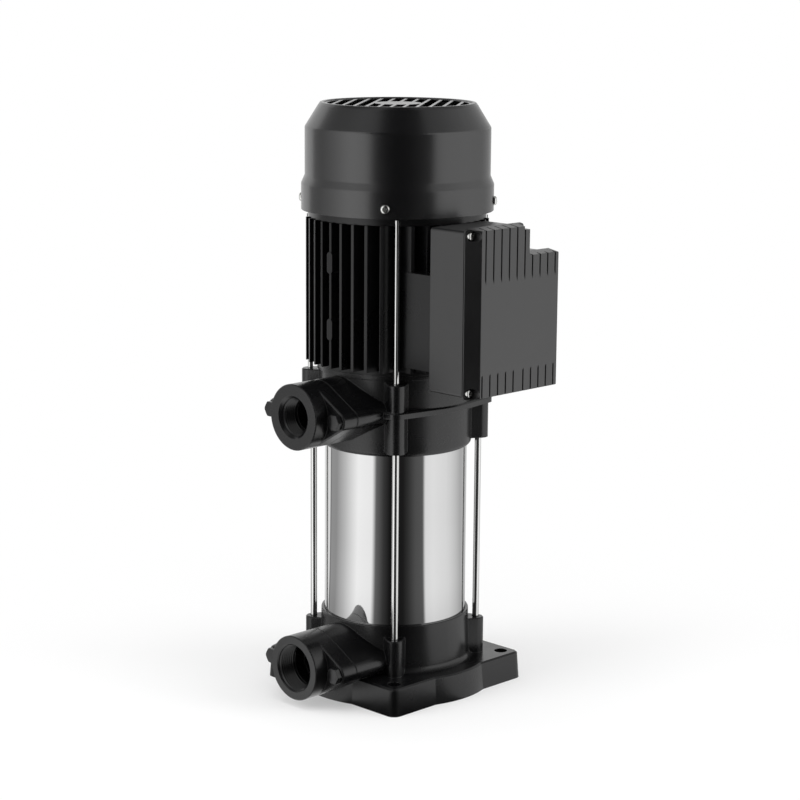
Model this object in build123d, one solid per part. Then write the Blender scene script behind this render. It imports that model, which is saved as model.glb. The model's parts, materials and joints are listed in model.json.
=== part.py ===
# Vertical multistage pump with a close-coupled electric motor.
# Millimetres. The origin is the middle of the foot's underside, +Z runs up the shaft,
# both ports face -Y and the terminal box sits on the +X side of the motor.

from build123d import *
import math
import os

os.makedirs("parts", exist_ok=True)

# ---------------------------------------------------------------- driving sizes
# Fits and clearances
press_gap = 0.02            # pressed or threaded pieces of one body
journal_gap = 0.05          # shaft journal in its bush, on the radius
running_gap = 0.4           # between turning and still pieces elsewhere
location_gap = 0.3          # parts that are slipped over each other by hand

# Foot and suction casting
foot_margin = 15.0          # round body to the edge of the square foot
foot_height = 25.0
foot_corner = 8.0
foot_draft = 2.0            # inward lean of each side over the foot's height
foot_edge = 1.5
foot_bulge_margin = 20.5    # round swell in the middle of each side
foot_bolt_inset = 14.5      # foot's edge to the bolt holes
foot_bolt_radius = 6.0
foot_recess_wall = 7.5
foot_recess_height = 7.0
foot_hub_radius = 20.0
base_height = 68.5
base_rim_wall = 2.7         # casting wall outside the sleeve
base_draft = 1.5            # the round body widens this much down to the foot
base_fillet = 5.0
base_rim_fillet = 1.0
chamber_floor = 14.0
spigot_wall = 6.2           # casting wall inside the sleeve
base_lug_drop = 10.0        # rim of the casting to the top of its lugs
base_lug_boss = 7.35
base_lug_width = 22.0
lug_edge = 0.9
lug_root = 5.0              # depth of a lug's root in the round wall
post_wall = 5.0
post_bore_spare = 2.0
bush_length = 20.0
bush_wall = 3.0
bush_shoulder_gap = 4.0     # top of the bush to the shaft's first shoulder

# Sleeve and tie bolts
sleeve_radius = 65.0
sleeve_wall = 1.5
sleeve_exposed = 155.5
sleeve_insert = 12.5        # depth of the sleeve in each casting
spigot_height = 6.0         # casting wall inside the sleeve, past the sleeve's end
seal_groove_start = 1.5
seal_groove_height = 3.2
seal_groove_depth = 3.0
seal_ring_gap = 0.1
seal_squeeze = 0.2
sleeve_shoulder = 4.0       # sleeve's upper end to the wide part of the chamber
tie_sleeve_gap = 7.0        # outside of the sleeve to the tie bolts
tie_bolt_radius = 3.0
tie_bolt_engagement = 26.0
tie_head_flats = 10.0
tie_head_height = 6.0
tie_head_recess = 10.0
tie_recess_gap = 1.2        # corners of the heads to their recess
tie_hole_gap = 0.5

# Delivery casting, which is the motor bracket too
delivery_rim_wall = 3.7
delivery_skirt_height = 38.0
delivery_plate_thickness = 6.0
delivery_plate_overhang = 3.5
delivery_plate_edge = 1.5
delivery_lobe_radius = 9.0
delivery_collar_height = 30.0
delivery_edge_fillet = 5.0
delivery_lug_clearance = 5.5    # casting's lower edge to the foot of the lower lugs
delivery_lug_boss = 8.0
delivery_lug_offset = 1.0       # boss centre, outside the tie bolt
delivery_lug_width = 22.5
delivery_chamber_step = 5.0     # widening of the chamber above the sleeve
delivery_chamber_rise = 13.0    # plate to the roof of the chamber
bracket_web = 7.0
motor_pocket_step = 4.3         # barrel's bore to the pocket, on the radius
collar_wall = 9.7
collar_band_height = 4.0
collar_band_step = 1.0
upper_lug_boss = 7.8
upper_lug_width = 22.8
upper_lug_height = 24.0
seal_hub_wall = 6.0
seal_hub_depth = 13.0
seal_seat_wall = 5.0
seal_seat_height = 7.0
seal_length = 18.0              # shaft's shoulder to the face of the still ring
seal_face_gap = 0.1
seal_face_height = 7.0
seal_face_step = 1.5
seal_head_lift = 1.0
seal_head_thickness = 5.5
shaft_opening = 1.5             # round the shaft, where it passes a wall
slinger_lift = 1.0
slinger_height = 3.5
slinger_lip = 1.0
slinger_neck = 3.0
slinger_reach = 7.0

# Ports, alike but for their threads
port_neck_reach = 6.0           # foot's swell to the joint between neck and counter-flange
port_flange_length = 31.0       # that joint to the port's face
port_flange_thickness = 16.5
port_neck_root = 11.4           # neck's start, inside the chamber's wall
port_stub_radius = 29.4
port_ear_spacing = 81.0
port_ear_radius = 9.0
port_flange_edge = 1.0
port_parting_edge = 0.5
port_bolt_radius = 4.0
port_bolt_length = 34.0
port_bolt_hole_gap = 0.5
port_bolt_flats = 13.0
port_bolt_head = 5.3
port_tap_spare = 4.0
port_thread_length = 19.0
port_edge_chamfer = 0.8
port_seal_width = 3.5
port_seal_thickness = 2.0
suction_axis_height = 36.0
suction_thread_radius = 20.955  # G 1 1/4, wall at the thread's major diameter
suction_bore_radius = 19.0
suction_mouth_chamfer = 1.2
delivery_axis_rise = 40.4       # casting's lower edge to the port axis
delivery_thread_radius = 16.62  # G 1, wall at the thread's major diameter
delivery_bore_radius = 15.0
delivery_mouth_chamfer = 2.6

# Plugs on the rear
plug_boss_radius = 11.0
plug_boss_reach = 3.0
plug_boss_root = 6.0
plug_thread_radius = 6.5
plug_thread_length = 9.0
plug_hole_depth = 25.0
plug_flats = 14.0
plug_head = 6.0
plug_collar = 2.0
plug_collar_inset = 1.5
drain_plug_height = 38.0
vent_plug_rise = 26.0           # casting's lower edge to the plug's axis

# Shaft line
shaft_pump_radius = 7.0
shaft_end_step = 1.0            # each of these is a change of radius along the shaft
shaft_seal_step = 1.0
shaft_bearing_step = 0.5
shaft_rotor_step = 1.5
shaft_fan_step = 1.5
nut_wall = 2.5
nut_height = 7.5
nut_spare = 1.5                 # nut to the shaft's first shoulder

# Stages
stage_count = 5
outlet_guide_height = 18.5
guide_hub_wall = 3.0
guide_hub_height = 8.0
guide_arm_count = 6
guide_arm_width = 4.0
guide_arm_height = 6.0
casing_wall = 2.0
casing_floor = 2.5
casing_gap = 0.3
hub_wall = 3.5
neck_space = 8.3                # impeller hub to the outside of its neck
neck_wall = 2.6
eye_lip_wall = 3.3
eye_lip_height = 2.5
impeller_lift = 1.0
impeller_shroud = 1.6
impeller_channel = 6.0
impeller_vanes = 6
impeller_vane_thickness = 2.0
impeller_margin = 6.5           # impeller to the edge of the diffuser disc
impeller_vane_arc = 0.58        # vane's arc and its centre, as parts of the radius
impeller_vane_centre = 0.63
diffuser_disc_gap = 1.6         # impeller's upper shroud to the disc
diffuser_disc_thickness = 2.0
diffuser_rim_gap = 7.2
diffuser_inlet_gap = 1.5
diffuser_eye_gap = 1.5
diffuser_vanes = 7
diffuser_vane_thickness = 2.4
diffuser_vane_arc = 0.72
diffuser_vane_centre = 0.78

# Motor
motor_length = 129.0
end_shield_rim = 4.0
end_shield_spigot = 6.0
end_shield_spigot_wall = 5.0
end_shield_floor = 1.0
upper_shield_floor = 1.5
shield_bore_gap = 1.0
barrel_inner_radius = 58.0
barrel_wall = 6.0
fin_height = 18.5
fin_pitch = 12.0
fin_rows = 4                # rows of fins on each side of the middle one
fin_thickness = 2.5
fin_boss_spacing = 59.0
fin_boss_length = 19.0
fin_boss_width = 6.5
fin_boss_reach = 1.0
stator_bottom_gap = 30.0
stator_top_gap = 31.0
stator_bore_radius = 35.5
winding_overhang = 16.0
winding_bore_gap = 2.5
winding_barrel_gap = 3.0
air_gap = 0.5
rotor_end_ring = 6.0
rotor_end_width = 12.0
rotor_end_slope = 2.0
bearing_section = 11.5      # bore to outside of a bearing, on the radius
bearing_width = 12.0
bearing_ring = 3.4
bearing_shield = 1.0
bearing_wall = 5.0
neck_ring_margin = 1.5      # past the through bolts' circle
neck_ring_height = 6.5
bearing_cap = 4.0
upper_bearing_drop = 2.0
through_bolt_clearance = 11.6   # barrel to the through bolts
through_bolt_radius = 2.4
through_hole_gap = 0.5
through_bolt_engagement = 20.0
through_head_flats = 8.0
through_head_height = 4.0
cover_lug_height = 17.0
cover_lug_width = 26.0
cover_lug_depth = 12.0

# Fan and fan cover
cover_turn = -7.0           # the cover sits this many degrees round from the bolts
cover_height = 94.8
cover_wall = 1.5
cover_fin_gap = 3.7         # fin tips to the outside of the skirt
cover_skirt_height = 23.2
cover_flare_height = 7.3
cover_flare_step = 3.2
cover_body_height = 42.6
cover_crown_height = 19.4
cover_crown_step = 12.0
cover_edge_step = 1.8
cover_bend_radius = 3.0
cover_rim_height = 1.0      # raised edge round the grille
cover_rim_width = 3.2
cover_rim_fillet = 0.8
grille_rim = 3.0
grille_pitch = 11.0
grille_bar = 2.8
grille_hub_radius = 21.0
cover_screw_height = 8.8
cover_screw_head_radius = 4.15
cover_screw_head_height = 2.8
cover_screw_dome = 0.75     # rounding of the head, as part of its height
cover_screw_radius = 2.0
cover_screw_length = 9.0
cover_screw_hole_gap = 0.3
fan_rise = 20.5             # neck ring to the fan's disc
fan_rim_gap = 13.0          # cover's body to the fan, on the radius
fan_hub_wall = 6.0
fan_hub_drop = 6.0
fan_hub_rise = 20.0
fan_disc_thickness = 2.5
fan_height = 26.0
fan_blade_inner = 30.0
fan_blades = 9
fan_blade_thickness = 2.2

# Terminal box
pad_reach = 12.0            # fin tips to the face of the pad
pad_half_width = 50.0
pad_bottom_rise = 5.0       # motor's lower end to the pad
pad_top_drop = 40.0         # motor's upper end to the pad
box_depth = 38.7
box_half_width = 54.4
box_drop = 11.0             # below the motor's lower end
box_rise = 2.5              # above the motor's upper end
box_wall = 3.0
box_corner = 3.0
notch_start = 16.7
notch_depth = 25.5
notch_corner = 0.5
lid_depth = 11.5
lid_margin = 0.3
lid_upper_margin = 2.5
lid_lower_margin = 2.0
lid_draft = 2.0             # the lid's sides lean in this much towards the front
lid_chamfer_depth = 11.0
lid_chamfer_width = 9.5
lid_rim = 2.0
lid_rim_land = 5.0
gasket_thickness = 1.0
gasket_inset = 0.8
lid_groove_count = 10
lid_groove_first = -40.2
lid_groove_pitch = 9.84
lid_groove_width = 1.5
lid_groove_depth = 9.0
lid_groove_fall = 48.0      # height over which an upper groove runs out
lid_lower_groove_fall = 22.0
lid_lower_groove_shift = -2.7   # the first lower grooves sit this much further over
lid_lower_shifted = 5
lid_step = 5.0              # last upper rib's end below the others
lid_step_land = 2.5
lid_screw_offset = 49.8
lid_screw_inset = 4.0
lid_screw_pocket = 4.5
lid_screw_land = 9.7        # lid's front to the floor of a screw's pocket
lid_screw_head_radius = 3.5
lid_screw_head_height = 2.6
lid_screw_head_edge = 0.8
lid_screw_radius = 2.0
lid_screw_length = 22.0
lid_screw_hole_gap = 0.3
lid_screw_spare = 1.0
pillar_side = 9.0
pillar_offset = 1.5
cable_way_radius = 9.0
cable_way_drop = 12.0       # stator core to the middle of the cable way
gland_rise = 49.0           # box's underside to the gland
gland_thread_radius = 8.0
gland_thread_spare = 8.0
gland_flats = 20.0
gland_hex = 5.0
gland_nut_height = 4.0
gland_cap_radius = 9.4
gland_cap_length = 12.0
gland_cap_edge = 2.5
gland_bore_radius = 4.5
capacitor_radius = 14.5
capacitor_length = 74.0
capacitor_offset = -26.0
capacitor_stud_radius = 4.0
capacitor_stud_height = 5.0
block_width = 34.0
block_depth = 16.0
block_height = 44.0
block_offset = 22.0
block_rise = 24.0
block_post_radius = 2.5
block_post_height = 6.0
block_post_pitch = 13.0
block_post_spread = 9.0

# ------------------------------------------------------------- worked-out places
# heights, from the foot upwards
sleeve_bottom = base_height - sleeve_insert
base_lug_top = base_height - base_lug_drop
delivery_bottom = base_height + sleeve_exposed
sleeve_top = delivery_bottom + sleeve_insert
stack_bottom = sleeve_bottom + spigot_height
stack_top = sleeve_top - spigot_height
channel_start = casing_floor + eye_lip_height + running_gap + impeller_shroud
stage_top = stack_top - outlet_guide_height
stage_pitch = (stage_top - stack_bottom) / stage_count
lower_groove_bottom = sleeve_bottom + seal_groove_start
upper_groove_bottom = sleeve_top - seal_groove_start - seal_groove_height
shaft_end_top = stack_bottom + impeller_lift - nut_height - nut_spare
post_top = shaft_end_top - bush_shoulder_gap
shaft_end_bottom = post_top - bush_length - 1
plate_bottom = delivery_bottom + delivery_skirt_height
plate_top = plate_bottom + delivery_plate_thickness
delivery_axis_height = delivery_bottom + delivery_axis_rise
vent_plug_height = delivery_bottom + vent_plug_rise
delivery_chamber_top = plate_top + delivery_chamber_rise
seal_hub_bottom = delivery_chamber_top - seal_hub_depth
shaft_seal_bottom = seal_hub_bottom - seal_length
collar_top = plate_top + delivery_collar_height
lug_top = plate_top + upper_lug_height
motor_bottom = collar_top + end_shield_rim
motor_top = motor_bottom + motor_length
neck_top = motor_top + neck_ring_height
stator_bottom = motor_bottom + stator_bottom_gap
stator_top = motor_top - stator_top_gap
lower_bearing_bottom = motor_bottom
upper_bearing_top = neck_top - upper_bearing_drop
cover_bottom = neck_top
cover_top = cover_bottom + cover_height
fan_bottom = neck_top + fan_rise
shaft_top = fan_bottom + fan_height
pad_bottom = motor_bottom + pad_bottom_rise
pad_top = motor_top - pad_top_drop
pad_middle = (pad_bottom + pad_top) / 2
box_bottom = motor_bottom - box_drop
box_top = motor_top + box_rise
notch_floor = box_top - notch_depth
lid_bottom = box_bottom - lid_lower_margin
lid_top = box_top + lid_upper_margin
cable_way_height = stator_bottom - cable_way_drop
gland_height = box_bottom + gland_rise

# radii, from the shaft outwards
shaft_end_radius = shaft_pump_radius - shaft_end_step
shaft_seal_radius = shaft_pump_radius + shaft_seal_step
bearing_bore_radius = shaft_seal_radius + shaft_bearing_step
shaft_rotor_radius = bearing_bore_radius + shaft_rotor_step
shaft_fan_radius = bearing_bore_radius - shaft_fan_step
bush_radius = shaft_end_radius + bush_wall
post_radius = bush_radius + post_wall
seal_seat_radius = shaft_seal_radius + seal_seat_wall
seal_hub_radius = seal_seat_radius + seal_hub_wall
hub_radius = shaft_pump_radius + hub_wall
neck_radius = hub_radius + neck_space
eye_lip_radius = neck_radius + running_gap + eye_lip_wall
bearing_radius = bearing_bore_radius + bearing_section
sleeve_bore = sleeve_radius - sleeve_wall
chamber_radius = sleeve_bore - location_gap - spigot_wall
delivery_chamber_radius = chamber_radius + delivery_chamber_step
base_rim_radius = sleeve_radius + location_gap + base_rim_wall
base_foot_radius = base_rim_radius + base_draft
foot_side = 2 * (base_foot_radius + foot_margin)
foot_bulge_radius = base_foot_radius + foot_bulge_margin
foot_bolt_spacing = foot_side - 2 * foot_bolt_inset
foot_recess_radius = base_foot_radius - foot_recess_wall
neck_root = chamber_radius - port_neck_root
port_parting_distance = foot_bulge_radius + port_neck_reach
port_face_distance = port_parting_distance + port_flange_length
tie_recess_radius = tie_head_flats / math.sqrt(3) + tie_recess_gap
delivery_skirt_radius = sleeve_radius + location_gap + delivery_rim_wall
delivery_plate_radius = delivery_skirt_radius + delivery_plate_overhang
tie_circle_radius = sleeve_radius + tie_sleeve_gap + tie_bolt_radius
delivery_lug_radius = tie_circle_radius + delivery_lug_offset
stage_radius = sleeve_bore - casing_gap
diffuser_disc_radius = stage_radius - casing_wall - diffuser_rim_gap
impeller_radius = diffuser_disc_radius - impeller_margin
diffuser_inlet_radius = impeller_radius + diffuser_inlet_gap
diffuser_eye_radius = eye_lip_radius + diffuser_eye_gap
motor_pocket_radius = barrel_inner_radius + motor_pocket_step
delivery_collar_radius = motor_pocket_radius + collar_wall
winding_inner_radius = stator_bore_radius + winding_bore_gap
winding_outer_radius = barrel_inner_radius - winding_barrel_gap
barrel_outer_radius = barrel_inner_radius + barrel_wall
fin_tip_radius = barrel_outer_radius + fin_height
through_circle_radius = barrel_outer_radius + through_bolt_clearance + through_bolt_radius
neck_ring_radius = through_circle_radius + neck_ring_margin
cover_skirt_radius = fin_tip_radius + cover_fin_gap
cover_body_radius = cover_skirt_radius - cover_flare_step
cover_crown_radius = cover_body_radius - cover_crown_step
cover_top_radius = cover_crown_radius - cover_edge_step
grille_seat_radius = cover_top_radius - cover_rim_width
grille_radius = grille_seat_radius - grille_rim
fan_radius = cover_body_radius - fan_rim_gap
fan_hub_radius = shaft_fan_radius + fan_hub_wall

# terminal box, outwards from the pad
box_back = fin_tip_radius + pad_reach
box_front = box_back + box_depth
lid_back = box_front + gasket_thickness
lid_front = lid_back + lid_depth
lid_half_width = box_half_width + lid_margin
lid_screw_floor = lid_front - lid_screw_land
diagonals = [45 + 90 * k for k in range(4)]


# ---------------------------------------------------------------- shared shapes
def turned(*points):
    """A body of revolution about Z from an outline of (radius, height) points."""
    outline = Plane.XZ * make_face(Polyline(*points, close=True))
    return revolve(outline, Axis.Z)


def ring(inner, outer, bottom, top):
    """A plain tube standing on the height bottom."""
    section = Circle(outer) - Circle(inner)
    return extrude(Plane.XY.offset(bottom) * section, amount=top - bottom)


def disc(radius, bottom, top):
    """A plain upright cylinder."""
    return extrude(Plane.XY.offset(bottom) * Circle(radius), amount=top - bottom)


def tangent_link(big_radius, small_radius, distance):
    """Plan of two circles and the straight tangents that join them, along +X."""
    lean = math.acos((big_radius - small_radius) / distance)
    big_x = big_radius * math.cos(lean)
    big_y = big_radius * math.sin(lean)
    small_x = distance + small_radius * math.cos(lean)
    small_y = small_radius * math.sin(lean)
    web = make_face(
        Polyline((big_x, big_y), (big_x, -big_y), (small_x, -small_y), (small_x, small_y), close=True)
    )
    return Circle(big_radius) + web + Pos(distance, 0) * Circle(small_radius)


def lug_plan(circle_radius, boss_radius, root_width, root_radius):
    """Plan of a bolt lug on +X: a round boss with wings that widen to the casting."""
    half = root_width / 2
    reach = math.hypot(root_radius - circle_radius, half)
    bearing = math.atan2(half, root_radius - circle_radius)
    touch = bearing - math.acos(boss_radius / reach)
    touch_x = circle_radius + boss_radius * math.cos(touch)
    touch_y = boss_radius * math.sin(touch)
    corners = [(root_radius, half), (touch_x, touch_y), (touch_x, -touch_y), (root_radius, -half)]
    wings = make_face(Polyline(*corners, close=True))
    return wings + Pos(circle_radius, 0) * Circle(boss_radius)


def around(shape, angles):
    """Copies of a shape turned about Z to each angle."""
    return [Rot(0, 0, angle) * shape for angle in angles]


def hexagon(flats, plane, length):
    """A hexagonal prism of the given width across flats, standing on a plane."""
    return extrude(plane * RegularPolygon(flats / 2, 6, major_radius=False), amount=length)


def bevelled_top(shape, width):
    """A prism with the edges of its top face bevelled."""
    return chamfer(shape.edges().group_by(Axis.Z)[-1], width)


def port_plan():
    """Two-eared outline of a port flange, in its own plane."""
    link = tangent_link(port_stub_radius, port_ear_radius, port_ear_spacing / 2)
    return link + Rot(0, 0, 180) * link


def along_port(sketch, near, far, height):
    """A sketch swept along a port's axis between two distances from the shaft."""
    plane = Plane(origin=(0, -near, height), x_dir=(1, 0, 0), z_dir=(0, -1, 0))
    return extrude(plane * sketch, amount=far - near)


def port_ears():
    """The two bolt centres of a port flange, across its axis."""
    half = port_ear_spacing / 2
    return [Pos(-half, 0), Pos(half, 0)]


# ------------------------------------------------------------------- castings
def port_neck(height):
    """Two-eared neck of a casting, from inside the body to the joint with its flange."""
    neck = along_port(port_plan(), neck_root, port_parting_distance, height)
    return chamfer(neck.faces().sort_by(Axis.Y)[0].edges(), port_parting_edge)


def port_neck_cuts(height, bore_radius):
    """Waterway and tapped bolt holes of a neck."""
    cuts = along_port(Circle(bore_radius), neck_root, port_parting_distance + 1, height)
    depth = port_bolt_length - port_flange_thickness + port_tap_spare
    for ear in port_ears():
        tapped = ear * Circle(port_bolt_radius + press_gap)
        cuts += along_port(tapped, port_parting_distance - depth, port_parting_distance + 1, height)
    return cuts


def plug_boss(wall_radius, height):
    """Round boss for a plug on the rear of a casting."""
    plane = Plane(origin=(0, wall_radius - plug_boss_root, height), x_dir=(-1, 0, 0), z_dir=(0, 1, 0))
    return extrude(plane * Circle(plug_boss_radius), amount=plug_boss_root + plug_boss_reach)


def plug_hole(wall_radius, height):
    """Tapped hole of a plug, open to the chamber behind it."""
    inner = wall_radius + plug_boss_reach - plug_hole_depth
    plane = Plane(origin=(0, inner, height), x_dir=(-1, 0, 0), z_dir=(0, 1, 0))
    return extrude(plane * Circle(plug_thread_radius + press_gap), amount=plug_hole_depth + 1)


def base_casting():
    lean = math.degrees(math.atan(foot_draft / foot_height))
    square = RectangleRounded(foot_side, foot_side, foot_corner)
    foot = extrude(square, amount=foot_height, taper=lean)
    foot = bevelled_top(foot, foot_edge)
    swell_top = foot_bulge_radius - foot_draft
    swell = turned(
        (0, 0),
        (foot_bulge_radius, 0),
        (swell_top, foot_height - foot_edge),
        (swell_top - foot_edge, foot_height),
        (0, foot_height),
    )
    body_outline = FilletPolyline(
        (0, foot_height - 1),
        (base_foot_radius + base_fillet, foot_height - 1),
        (base_foot_radius + base_fillet, foot_height),
        (base_foot_radius, foot_height),
        (base_rim_radius, base_height),
        (0, base_height),
        radius=[0, 0, 0, base_fillet, base_rim_fillet, 0],
        close=True,
    )
    body = revolve(Plane.XZ * make_face(body_outline), Axis.Z)
    lug_section = lug_plan(
        tie_circle_radius, base_lug_boss, base_lug_width, base_rim_radius - lug_root
    )
    lug_start = foot_height - foot_edge
    lug = extrude(Plane.XY.offset(lug_start) * lug_section, amount=base_lug_top - lug_start)
    lug = bevelled_top(lug, lug_edge)
    casting = foot + swell + body + around(lug, diagonals) + port_neck(suction_axis_height)
    casting += plug_boss(base_foot_radius, drain_plug_height)
    # pump chamber, sleeve seat and the seal groove on the spigot inside it
    casting -= disc(chamber_radius, chamber_floor, base_height + 1)
    casting -= disc(sleeve_radius + location_gap, stack_bottom, base_height + 1)
    casting -= ring(sleeve_bore - location_gap, sleeve_radius + location_gap, sleeve_bottom, base_height)
    casting -= sleeve_seal_groove(lower_groove_bottom)
    casting -= port_neck_cuts(suction_axis_height, suction_bore_radius)
    casting -= plug_hole(base_foot_radius, drain_plug_height)
    # post that carries the lower bush
    casting += disc(post_radius, chamber_floor - 1, post_top)
    casting -= disc(bush_radius + press_gap, shaft_end_bottom - post_bore_spare, post_top + 1)
    # ring recess under the foot
    casting -= ring(foot_hub_radius, foot_recess_radius, -1, foot_recess_height)
    for angle in diagonals:
        spot = Rot(0, 0, angle) * Pos(tie_circle_radius, 0, 0)
        casting -= spot * disc(tie_bolt_radius + tie_hole_gap, -1, base_height)
        casting -= spot * disc(tie_recess_radius, -1, tie_head_recess)
    half = foot_bolt_spacing / 2
    for x in (-half, half):
        for y in (-half, half):
            casting -= Pos(x, y, 0) * disc(foot_bolt_radius, -1, foot_height + 1)
    return casting


def sleeve_seal_groove(bottom):
    """Groove round a spigot for the seal ring inside the sleeve."""
    return ring(sleeve_bore - seal_groove_depth, sleeve_bore, bottom, bottom + seal_groove_height)


def delivery_casting():
    skirt_outline = FilletPolyline(
        (0, delivery_bottom),
        (delivery_skirt_radius, delivery_bottom),
        (delivery_skirt_radius, plate_bottom + 1),
        (0, plate_bottom + 1),
        radius=[0, delivery_edge_fillet, 0, 0],
        close=True,
    )
    skirt = revolve(Plane.XZ * make_face(skirt_outline), Axis.Z)
    lobe = tangent_link(delivery_plate_radius, delivery_lobe_radius, through_circle_radius)
    plate_plan = Sketch() + around(lobe, diagonals)
    plate = extrude(Plane.XY.offset(plate_bottom) * plate_plan, amount=delivery_plate_thickness)
    plate = bevelled_top(plate, delivery_plate_edge)
    collar = disc(delivery_collar_radius - collar_band_step, plate_top - 1, collar_top)
    band = disc(delivery_collar_radius, collar_top - collar_band_height, collar_top)
    lower_section = lug_plan(
        delivery_lug_radius, delivery_lug_boss, delivery_lug_width, delivery_skirt_radius - lug_root
    )
    lower_lug_bottom = delivery_bottom + delivery_lug_clearance
    lower_lug = extrude(
        Plane.XY.offset(lower_lug_bottom) * lower_section, amount=plate_bottom + 1 - lower_lug_bottom
    )
    upper_section = lug_plan(
        through_circle_radius, upper_lug_boss, upper_lug_width, delivery_collar_radius - lug_root
    )
    upper_start = plate_top - delivery_plate_edge
    upper_lug = extrude(Plane.XY.offset(upper_start) * upper_section, amount=lug_top - upper_start)
    upper_lug = bevelled_top(upper_lug, lug_edge)
    casting = skirt + plate + collar + band + around(lower_lug, diagonals)
    casting += around(upper_lug, diagonals)
    casting += port_neck(delivery_axis_height)
    casting += plug_boss(delivery_skirt_radius, vent_plug_height)
    # sleeve seat, seal groove and delivery chamber
    casting -= disc(sleeve_radius + location_gap, delivery_bottom - 1, stack_top)
    casting -= ring(
        sleeve_bore - location_gap, sleeve_radius + location_gap, delivery_bottom - 1, sleeve_top
    )
    casting -= sleeve_seal_groove(upper_groove_bottom)
    casting -= disc(chamber_radius, stack_top - 1, delivery_chamber_top)
    casting -= disc(delivery_chamber_radius, sleeve_top + sleeve_shoulder, delivery_chamber_top)
    casting -= port_neck_cuts(delivery_axis_height, delivery_bore_radius)
    casting -= plug_hole(delivery_skirt_radius, vent_plug_height)
    # motor pocket above the web
    casting -= disc(motor_pocket_radius, delivery_chamber_top + bracket_web, collar_top + 1)
    # hub that holds the seal seat
    casting += disc(seal_hub_radius, seal_hub_bottom, delivery_chamber_top + 1)
    casting -= disc(
        seal_seat_radius + press_gap, seal_hub_bottom - 1, seal_hub_bottom + seal_seat_height
    )
    casting -= disc(shaft_seal_radius + shaft_opening, seal_hub_bottom, collar_top)
    for angle in diagonals:
        tie = Rot(0, 0, angle) * Pos(tie_circle_radius, 0, 0)
        tie_top = lower_lug_bottom + tie_bolt_engagement
        casting -= tie * disc(tie_bolt_radius + press_gap, lower_lug_bottom - 1, tie_top + 1)
        through = Rot(0, 0, angle) * Pos(through_circle_radius, 0, 0)
        through_bottom = lug_top - through_bolt_engagement
        casting -= through * disc(through_bolt_radius + press_gap, through_bottom - 1, lug_top + 1)
    return casting


def port_flange(height, thread_radius, bore_radius, mouth):
    """Counter-flange with a round threaded stub."""
    shoulder = port_parting_distance + port_flange_thickness
    plate = along_port(port_plan(), port_parting_distance, shoulder, height)
    plate = chamfer(plate.faces().sort_by(Axis.Y)[0].edges(), port_flange_edge)
    plate = chamfer(plate.faces().sort_by(Axis.Y)[-1].edges(), port_parting_edge)
    stub = along_port(Circle(port_stub_radius), shoulder - 1, port_face_distance, height)
    rim = stub.faces().sort_by(Axis.Y)[0].edges()
    stub = chamfer(rim, port_edge_chamfer)
    flange = plate + stub
    thread_start = port_face_distance - port_thread_length
    flange -= along_port(Circle(bore_radius), port_parting_distance - 1, port_face_distance, height)
    flange -= along_port(Circle(thread_radius), thread_start, port_face_distance + 1, height)
    mouth_plane = Plane(origin=(0, -port_face_distance, height), x_dir=(1, 0, 0), z_dir=(0, 1, 0))
    flange -= extrude(mouth_plane * Circle(thread_radius + mouth), amount=mouth, taper=45)
    flange -= along_port(
        Circle(bore_radius + port_seal_width) - Circle(bore_radius),
        port_parting_distance - 1,
        port_parting_distance + port_seal_thickness,
        height,
    )
    for ear in port_ears():
        hole = ear * Circle(port_bolt_radius + port_bolt_hole_gap)
        flange -= along_port(hole, port_parting_distance - 1, shoulder + 1, height)
    return flange


def port_bolts(height):
    """The two hexagon bolts of a port flange."""
    shoulder = port_parting_distance + port_flange_thickness
    bolts = []
    for ear in port_ears():
        shank = along_port(ear * Circle(port_bolt_radius), shoulder - port_bolt_length, shoulder, height)
        plan = ear * RegularPolygon(port_bolt_flats / 2, 6, major_radius=False)
        head = along_port(plan, shoulder, shoulder + port_bolt_head, height)
        bolts.append(shank + head)
    return bolts


def port_seal(height, bore_radius):
    """Flat seal ring in the back of a counter-flange."""
    section = Circle(bore_radius + port_seal_width - press_gap) - Circle(bore_radius + seal_squeeze)
    return along_port(
        section, port_parting_distance, port_parting_distance + port_seal_thickness, height
    )


def pipe_plug(wall_radius, height):
    """Hexagon plug screwed into the rear of a casting."""
    seat = wall_radius + plug_boss_reach
    inner = Plane(origin=(0, seat - plug_thread_length, height), x_dir=(-1, 0, 0), z_dir=(0, 1, 0))
    outer = Plane(origin=(0, seat, height), x_dir=(-1, 0, 0), z_dir=(0, 1, 0))
    thread = extrude(inner * Circle(plug_thread_radius), amount=plug_thread_length)
    collar = extrude(outer * Circle(plug_boss_radius - plug_collar_inset), amount=plug_collar)
    return thread + collar + hexagon(plug_flats, outer, plug_head)


# ------------------------------------------------------------ sleeve and bolts
def outer_sleeve():
    return ring(sleeve_bore, sleeve_radius, sleeve_bottom, sleeve_top)


def sleeve_seal(groove_bottom):
    """Seal ring squeezed between a casting's spigot and the sleeve."""
    inner = sleeve_bore - seal_groove_depth + seal_ring_gap
    top = groove_bottom + seal_groove_height - seal_squeeze
    return ring(inner, sleeve_bore - seal_ring_gap, groove_bottom + seal_squeeze, top)


def tie_bolts():
    """Long bolts from the foot's underside up into the delivery casting."""
    top = delivery_bottom + delivery_lug_clearance + tie_bolt_engagement
    bolts = []
    for angle in diagonals:
        place = Rot(0, 0, angle) * Pos(tie_circle_radius, 0, 0)
        head_bottom = tie_head_recess - tie_head_height
        shank = disc(tie_bolt_radius, tie_head_recess - 1, top)
        head = hexagon(tie_head_flats, Plane.XY.offset(head_bottom), tie_head_height)
        bolts.append(place * (shank + head))
    return bolts


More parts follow.
